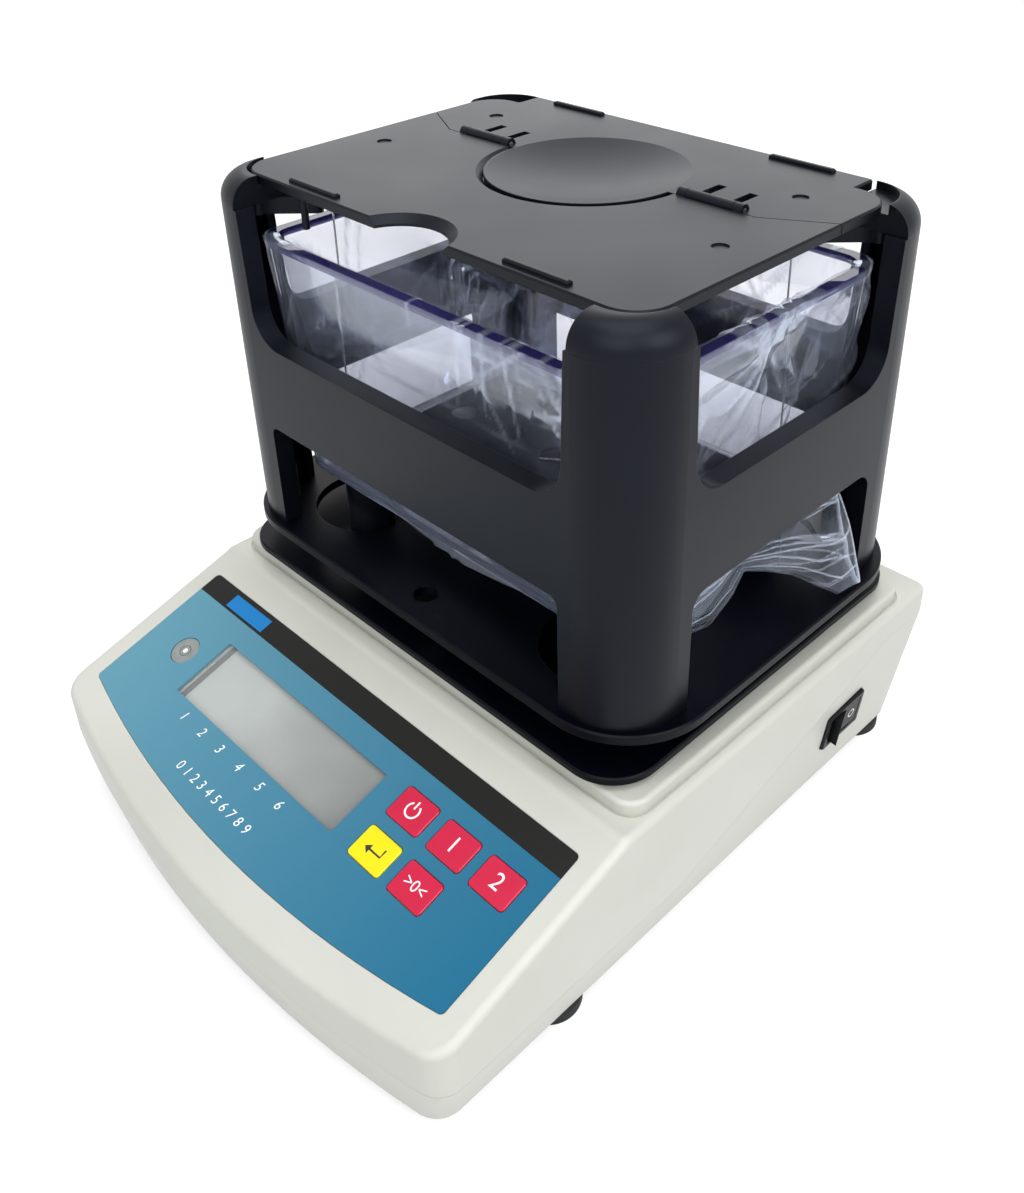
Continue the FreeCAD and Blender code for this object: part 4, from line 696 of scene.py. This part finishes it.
tree.links.new(bump.outputs["Normal"], shader.inputs["Normal"])
tint = node(tree, "VolumeAbsorption", None, {"Color": linear(tank_tint), "Density": tint_density})
tree.links.new(tint.outputs[0], tree.nodes["Material Output"].inputs["Volume"])
coat(clear_tank, "tank")

# ---------------------------------------------------------------------------
# Film bag: the thin clear bag of blown polythene that the new tank came in, pulled up over it by
# hand. It clings in star shaped crumples and long creases, turns in over the rim and droops below.
# It is clear and shiny where it faces the eye and milky seen edge on; along each crease it is painted
# white, a painted highlight
# ---------------------------------------------------------------------------
bag_seed = 7
bag_columns = 440
rows_outside = 52
rows_rim = 5
rows_inside = 16
bag_rows = rows_outside + rows_rim + rows_inside + 1
skin_gap = 0.8 * mm             # film to the tank's wall
skin_most = 4.2 * mm            # as far as the frame leaves room
tank_draft = math.tan(math.radians(3.0))
tank_corner = 10.5 * mm
tank_wall = 3.0 * mm
rim_lip = 0.5 * mm
tank_middle = (tank_low + tank_high) / 2
bag_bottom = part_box("tank_bag")[0].z
wall_height = rim_z - bag_bottom
top_half_x = (tank_high.x - tank_low.x) / 2 - rim_lip
top_half_y = (tank_high.y - tank_low.y) / 2 - rim_lip
flat_x = 2 * (top_half_x - tank_corner)
flat_y = 2 * (top_half_y - tank_corner)
arc = math.pi / 2 * tank_corner
bag_round = 2 * (flat_x + flat_y) + 4 * arc

# At the foot, which is crushed under the tank and looks milky
foot_height = 30 * mm
foot_haze = 0.95
foot_tuck = 4 * mm              # how far it is pulled under the tank
droop_deepest = 12 * mm
droop_place = 22 * mm           # way round to the deepest droop
droop_width = 34 * mm
ripple_depth = 2.5 * mm
ripple_count = 5

# At the rim and inside it
tight_height = 6 * mm           # below the rim, the film is drawn tight against the wall
tight_share = 0.25              # what is left of a crease there
rim_sample = 3 * mm             # how far below the rim its creases are read
rim_crown = 0.35 * mm
rim_lump = 0.3                  # what is left of a crease's height on the rim
rim_clearness = 0.5             # drawn tight over the rim the film hardly shows
rim_crease = 0.1                # but a crease stronger than this does
turn_in_least = 9 * mm
turn_in_more = 46 * mm          # added at mouth_deepest
mouth_lean = 5 * mm             # how far the mouth hangs away from the wall
inside_haze = 0.7

# Its surface
film_colour = "#d5dff4"
film_shine = 0.55               # a share of metal: a surface this clear would lose its reflections
haze_size = 32 * mm             # patches where the film is a little cloudier
crinkle_size = 26 * mm
# how much whiter the film is painted along a crease: a painted highlight
crease_painted_highlight = 0.5
edge_on_power = 2.2

# The way round, in order: right face, rear, left, front, each followed by its corner
right_end = flat_y
rear_start = right_end + arc
left_start = rear_start + flat_x + arc
front_start = left_start + flat_y + arc
mouth_deepest = left_start + 30 * mm
star_places = [
    # way round, height above the bag's foot, reach, rise, number of creases
    (47 * mm, 76 * mm, 40 * mm, 3.2 * mm, 15),
    (64 * mm, 55 * mm, 26 * mm, 2.2 * mm, 11),
    (right_end + 6 * mm, 82 * mm, 26 * mm, 2.4 * mm, 15),
    (19 * mm, 50 * mm, 24 * mm, 1.8 * mm, 11),
    (34 * mm, 24 * mm, 30 * mm, 2.4 * mm, 11),
    (front_start - 6 * mm, 82 * mm, 15 * mm, 1.4 * mm, 11),
    (front_start + flat_x - 8 * mm, 70 * mm, 22 * mm, 1.6 * mm, 11),
    (front_start + flat_x - 2 * mm, 32 * mm, 32 * mm, 2.4 * mm, 13),
    (front_start + 66 * mm, 12 * mm, 30 * mm, 1.6 * mm, 11),
    (rear_start + 30 * mm, 60 * mm, 40 * mm, 2.0 * mm, 11),
    (rear_start + 100 * mm, 40 * mm, 40 * mm, 2.0 * mm, 11),
    (left_start + 20 * mm, 60 * mm, 34 * mm, 2.6 * mm, 13),
    (left_start + 66 * mm, 36 * mm, 34 * mm, 2.0 * mm, 11)]
drawn_creases = [
    # way round and height at both ends, half width, rise
    (front_start + 26 * mm, 58 * mm, front_start + 115 * mm, 55 * mm, 1.3 * mm, 0.5 * mm),
    (front_start + 82 * mm, 79 * mm, front_start + 117 * mm, 76 * mm, 1.3 * mm, 0.4 * mm),
    (6 * mm, 4 * mm, 14 * mm, 78 * mm, 2.2 * mm, 0.9 * mm),
    (54 * mm, 72 * mm, 66 * mm, 50 * mm, 2.0 * mm, 1.4 * mm),
    (46 * mm, 70 * mm, 40 * mm, 38 * mm, 1.8 * mm, 1.2 * mm)]
chance_creases = 70
chance_lean = 0.6               # in radians, from upright
chance_length = (18 * mm, 60 * mm)
chance_side = (1.5 * mm, 4 * mm)
chance_rise = (0.3 * mm, 1.0 * mm)
chance_rise_front = (0.1 * mm, 0.25 * mm)
star_lift = 0.3                 # a whole star stands off by this share of its creases' rise
star_core = 3.5                 # its middle, 1 / 3.5 of its reach, is pressed back to the wall
star_white = 1.3 * mm           # how far a star's crease paints a highlight on the film to each side
crease_white = 0.9 * mm         # and a long crease
crease_mark = 0.8               # a long crease's painted highlight is a little fainter than a star's
crease_ends = 6                 # it fades over 1 / 6 of its length at each end


def spokes(rng, count):
    """Creases round a point: their angles and the rise of each, up and down by turns."""
    angles = sorted(rng.uniform(0, 2 * math.pi) for _ in range(count))
    return [(angle, (1 if i % 2 else -0.5) * rng.uniform(0.5, 1.0)) for i, angle in enumerate(angles)]


def spoke_rise(fan, angle):
    """Rise between two neighbouring creases, straight from one to the next, and angle to the nearer."""
    angle %= 2 * math.pi
    for i, (here, rise) in enumerate(fan):
        if angle < here:
            before, low = fan[i - 1]
            break
    else:
        here, rise = fan[0]
        before, low = fan[-1]
    gap = (here - before) % (2 * math.pi) or 2 * math.pi
    share = ((angle - before) % (2 * math.pi)) / gap
    return low + (rise - low) * share, min(share, 1 - share) * gap


def round_apart(a, b):
    """How far two places lie apart on the way round the bag."""
    return (a - b + bag_round / 2) % bag_round - bag_round / 2


def film_rise(way, up, stars, creases):
    """How far the film stands off at a place, and how near a crease is, from 0 to 1."""
    rise = 0.0
    near = 0.0
    for star_way, star_up, reach, lift, fan in stars:
        dx = round_apart(way, star_way)
        dy = up - star_up
        r = math.hypot(dx, dy)
        if r < reach:
            fade = min(1.0, star_core * r / reach) * (1 - r / reach)
            part, apart = spoke_rise(fan, math.atan2(dy, dx))
            rise += lift * fade * (part + star_lift)
            near = max(near, (1 - r / reach) * max(0.0, 1 - apart * r / star_white))
    for way_0, up_0, way_1, up_1, side, lift in creases:
        run_x = round_apart(way_1, way_0)
        run_y = up_1 - up_0
        length = math.hypot(run_x, run_y)
        dx = round_apart(way, way_0)
        dy = up - up_0
        t = (dx * run_x + dy * run_y) / length ** 2
        d = abs(dy * run_x - dx * run_y) / length
        if 0 < t < 1 and d < side:
            fade = min(1.0, crease_ends * t, crease_ends * (1 - t))
            rise += lift * fade * (1 - d / side)
            near = max(near, crease_mark * fade * max(0.0, 1 - d / crease_white))
    return rise, near


def outline_at(way, half_x, half_y):
    """A point and its outward direction on the tank's rounded outline."""
    share = way % bag_round
    sides = [((half_x, tank_corner - half_y), (0, 1), flat_y, (1, 0)),
             ((half_x - tank_corner, half_y), (-1, 0), flat_x, (0, 1)),
             ((-half_x, half_y - tank_corner), (0, -1), flat_y, (-1, 0)),
             ((tank_corner - half_x, -half_y), (1, 0), flat_x, (0, -1))]
    for start, run, length, out in sides:
        start, run, out = Vector(start), Vector(run), Vector(out)
        real = 2 * ((half_y if abs(run.y) else half_x) - tank_corner)
        if share <= length:
            return start + run * (real * share / length), out
        share -= length
        if share <= arc:
            turned = out * math.cos(share / tank_corner) + run * math.sin(share / tank_corner)
            return start + run * real + (turned - out) * tank_corner, turned
        share -= arc
    return Vector(sides[0][0]), Vector((1, 0))


def quads(columns, rows, closed_rows):
    """The faces of a grid whose columns close on themselves, or whose rows do."""
    made = []
    for i in range(columns - (1 if closed_rows else 0)):
        k = (i + 1) % columns
        for j in range(rows - (0 if closed_rows else 1)):
            m = (j + 1) % rows
            made.append((i * rows + j, k * rows + j, k * rows + m, i * rows + m))
    return made


film, tree, shader = new_material("clear_polythene_film", {
    "Base Color": linear(film_colour), "Roughness": 0.12, "IOR": 1.51, "Metallic": film_shine})
place = node(tree, "TexCoord").outputs["Object"]
crease = node(tree, "Attribute", {"attribute_name": "crease"}).outputs["Fac"]
clouds = node(tree, "TexNoise", None, {"Vector": place, "Scale": 1 / haze_size, "Detail": 2.0})
haze = node(tree, "MapRange", None, {
    "Value": clouds.outputs["Fac"], "From Min": 0.35, "From Max": 0.7,
    "To Min": 0.02, "To Max": 0.12})
facing = node(tree, "LayerWeight", None, {"Blend": 0.5}).outputs["Facing"]
edge_on = node(tree, "Math", {"operation": "POWER"}, {0: facing, 1: edge_on_power})
sheer = node(tree, "MapRange", None, {"Value": edge_on.outputs[0], "To Min": 0.05, "To Max": 0.34})
# the film is painted whiter along its creases and folds, a painted highlight
white = node(tree, "Math", {"operation": "MULTIPLY"}, {0: crease, 1: crease_painted_highlight})
veil = node(tree, "Math", {"operation": "ADD"}, {0: haze.outputs["Result"], 1: white.outputs[0]})
alpha = node(tree, "Math", {"operation": "ADD", "use_clamp": True},
             {0: veil.outputs[0], 1: sheer.outputs["Result"]})
tree.links.new(alpha.outputs[0], shader.inputs["Alpha"])
crinkle = node(tree, "TexNoise", {"noise_type": "RIDGED_MULTIFRACTAL"},
               {"Vector": place, "Scale": 1 / crinkle_size, "Detail": 2.0})
bump = node(tree, "Bump", None, {"Height": crinkle.outputs["Fac"], "Distance": 0.35 * mm})
tree.links.new(bump.outputs["Normal"], shader.inputs["Normal"])


def film_piece(name, points, faces, creased, solid):
    """A sheet of film in place of a CAD solid, with each point's nearness to a crease on its mesh."""
    made = new_mesh(name, points, faces, True)
    store = made.data.attributes.new("crease", "FLOAT", "POINT")
    store.data.foreach_set("value", creased)
    made.data.materials.append(film)
    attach(made, "housing")
    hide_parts(solid)
    return made


rng = random.Random(bag_seed)
stars = [(way, up, reach, lift, spokes(rng, count)) for way, up, reach, lift, count in star_places]
creases = list(drawn_creases)
for _ in range(chance_creases):
    way = rng.uniform(0, bag_round)
    up = rng.uniform(0, wall_height)
    turn = rng.gauss(math.pi / 2, chance_lean)
    length = rng.uniform(*chance_length)
    on_front = front_start < way < front_start + flat_x
    lift = rng.uniform(*(chance_rise_front if on_front else chance_rise))
    creases.append((way, up, way + length * math.cos(turn), up + length * math.sin(turn),
                    rng.uniform(*chance_side), lift))

points = []
near_crease = []
for i in range(bag_columns):
    way = bag_round * i / bag_columns
    inner = 0.5 + 0.5 * math.cos(2 * math.pi * (way - mouth_deepest) / bag_round)
    turn_in = turn_in_least + turn_in_more * inner ** 2
    droop = droop_deepest * max(0.0, 1 - abs(round_apart(way, droop_place)) / droop_width)
    droop += ripple_depth * (1 + math.sin(2 * math.pi * ripple_count * i / bag_columns))
    for j in range(bag_rows):
        if j <= rows_outside:
            up = wall_height * j / rows_outside
            rise, near = film_rise(way, up, stars, creases)
            low = max(0.0, 1 - up / foot_height)
            near = max(near, foot_haze * low)
            z = bag_bottom + up - droop * low ** 2
            tight = min(1.0, (wall_height - up) / tight_height)
            stands_off = skin_gap + rise * (tight_share + (1 - tight_share) * tight)
            off = min(skin_most, max(skin_gap, stands_off) - foot_tuck * low ** 3)
            off += rim_lip * (1 - tight)
        elif j <= rows_outside + rows_rim:
            t = (j - rows_outside) / rows_rim
            lump, near = film_rise(way, wall_height - rim_sample, stars, creases)
            near = near if near > rim_crease else -rim_clearness
            off = skin_gap + rim_lip - (tank_wall + 2 * skin_gap + rim_lip) * t
            z = rim_z + (rim_crown + rim_lump * max(0.0, lump)) * math.sin(math.pi * t)
        else:
            t = (j - rows_outside - rows_rim) / rows_inside
            rise, near = film_rise(way, wall_height - turn_in * t, stars, creases)
            off = -tank_wall - skin_gap - mouth_lean * t * inner - abs(rise) * (1 + inner)
            z = rim_z - turn_in * t
            near *= inside_haze
        taper = (rim_z - z) * tank_draft
        spot, out = outline_at(way, top_half_x - taper, top_half_y - taper)
        spot += out * off
        points.append((tank_middle.x + spot.x, tank_middle.y + spot.y, z))
        near_crease.append(near)
wrap_faces = quads(bag_columns, bag_rows, False)
film_wrap = film_piece("film_wrap", points, wrap_faces, near_crease, "tank_bag")

# ---------------------------------------------------------------------------
# The bag's loose corner: the same film, pinched together where it leaves the frame's lower window
# and fanned out to its cut edge over the weighing plate, with creases running from the pinch. One
# or two layers only, it is clearer than the crumpled wall
# ---------------------------------------------------------------------------
tail_sections = [
    # upper edge's x, y, z, lower edge's x, y, z, thickness, in millimetres
    (77.0, -6.0, 115.0, 78.0, 0.0, 94.0, 8.0),
    (80.0, 4.0, 116.0, 82.0, 12.0, 95.0, 8.0),
    (83.0, 13.0, 116.5, 84.5, 18.0, 103.0, 6.0),
    (84.5, 19.0, 117.0, 85.5, 22.0, 110.0, 4.0),
    (86.0, 28.0, 117.0, 87.0, 31.0, 106.0, 7.0),
    (87.0, 40.0, 117.0, 89.0, 43.0, 99.0, 10.0),
    (87.5, 52.0, 117.0, 91.0, 55.0, 89.0, 11.0),
    (88.0, 60.0, 117.0, 92.8, 63.0, 82.8, 8.0),
    (88.3, 65.0, 117.0, 94.5, 73.5, 82.4, 2.5)]
tail_top = 117.4                # just under the frame's rail
tail_floor = 81.6               # just above the weighing plate
tail_rows = 150
tail_columns = 80
tail_folds = 11
tail_folds_2 = 7
tail_fan = spokes(rng, tail_folds)
tail_fan_2 = spokes(rng, tail_folds_2)
tail_clearness = 0.2
tail_swell = 0.45               # how much the first fan's folds swell out
tail_swell_2 = 0.3
tail_ruffle = 0.04              # how uneven they make the upper and lower edges
fan_sway = 0.15                 # how far the first fan's folds wander, in radians
fan_wave = 14                   # columns to a radian of that wander
fan_twist = 0.02                # how far the second fan's turn from column to column
fold_white = 34                 # a fold paints a highlight on the film for 1 / 34 radian to each side
fold_white_2 = 0.6              # the second fan's folds are fainter
hem_columns = 1.5               # the cut edge looks white over these last columns

points = []
near_crease = []
for i in range(tail_columns):
    t = i / (tail_columns - 1) * (len(tail_sections) - 1)
    k = min(int(t), len(tail_sections) - 2)
    section = [a + (b - a) * (t - k) for a, b in zip(tail_sections[k], tail_sections[k + 1])]
    upper = Vector(section[:3])
    lower = Vector(section[3:6])
    reach = (upper - lower) / 2
    out = Vector((0, 1, 0)).cross(reach).normalized() * section[6] / 2
    cut_edge = 1 - (tail_columns - 1 - i) / hem_columns
    for j in range(tail_rows):
        angle = 2 * math.pi * j / tail_rows
        part, apart = spoke_rise(tail_fan, angle + fan_sway * math.sin(i / fan_wave))
        part_2, apart_2 = spoke_rise(tail_fan_2, angle - fan_twist * i)
        swell = 1 + tail_swell * part + tail_swell_2 * part_2
        spot = (upper + lower) / 2 + reach * math.cos(angle) * (1 + tail_ruffle * part)
        spot += out * math.sin(angle) * swell
        spot.z = min(max(spot.z, tail_floor), tail_top)
        points.append(spot * mm)
        near_crease.append(max(cut_edge, -tail_clearness, 1.0 - fold_white * apart,
                               fold_white_2 - fold_white * apart_2))
tail_faces = quads(tail_columns, tail_rows, True)
film_tail = film_piece("film_tail", points, tail_faces, near_crease, "bag_tail")
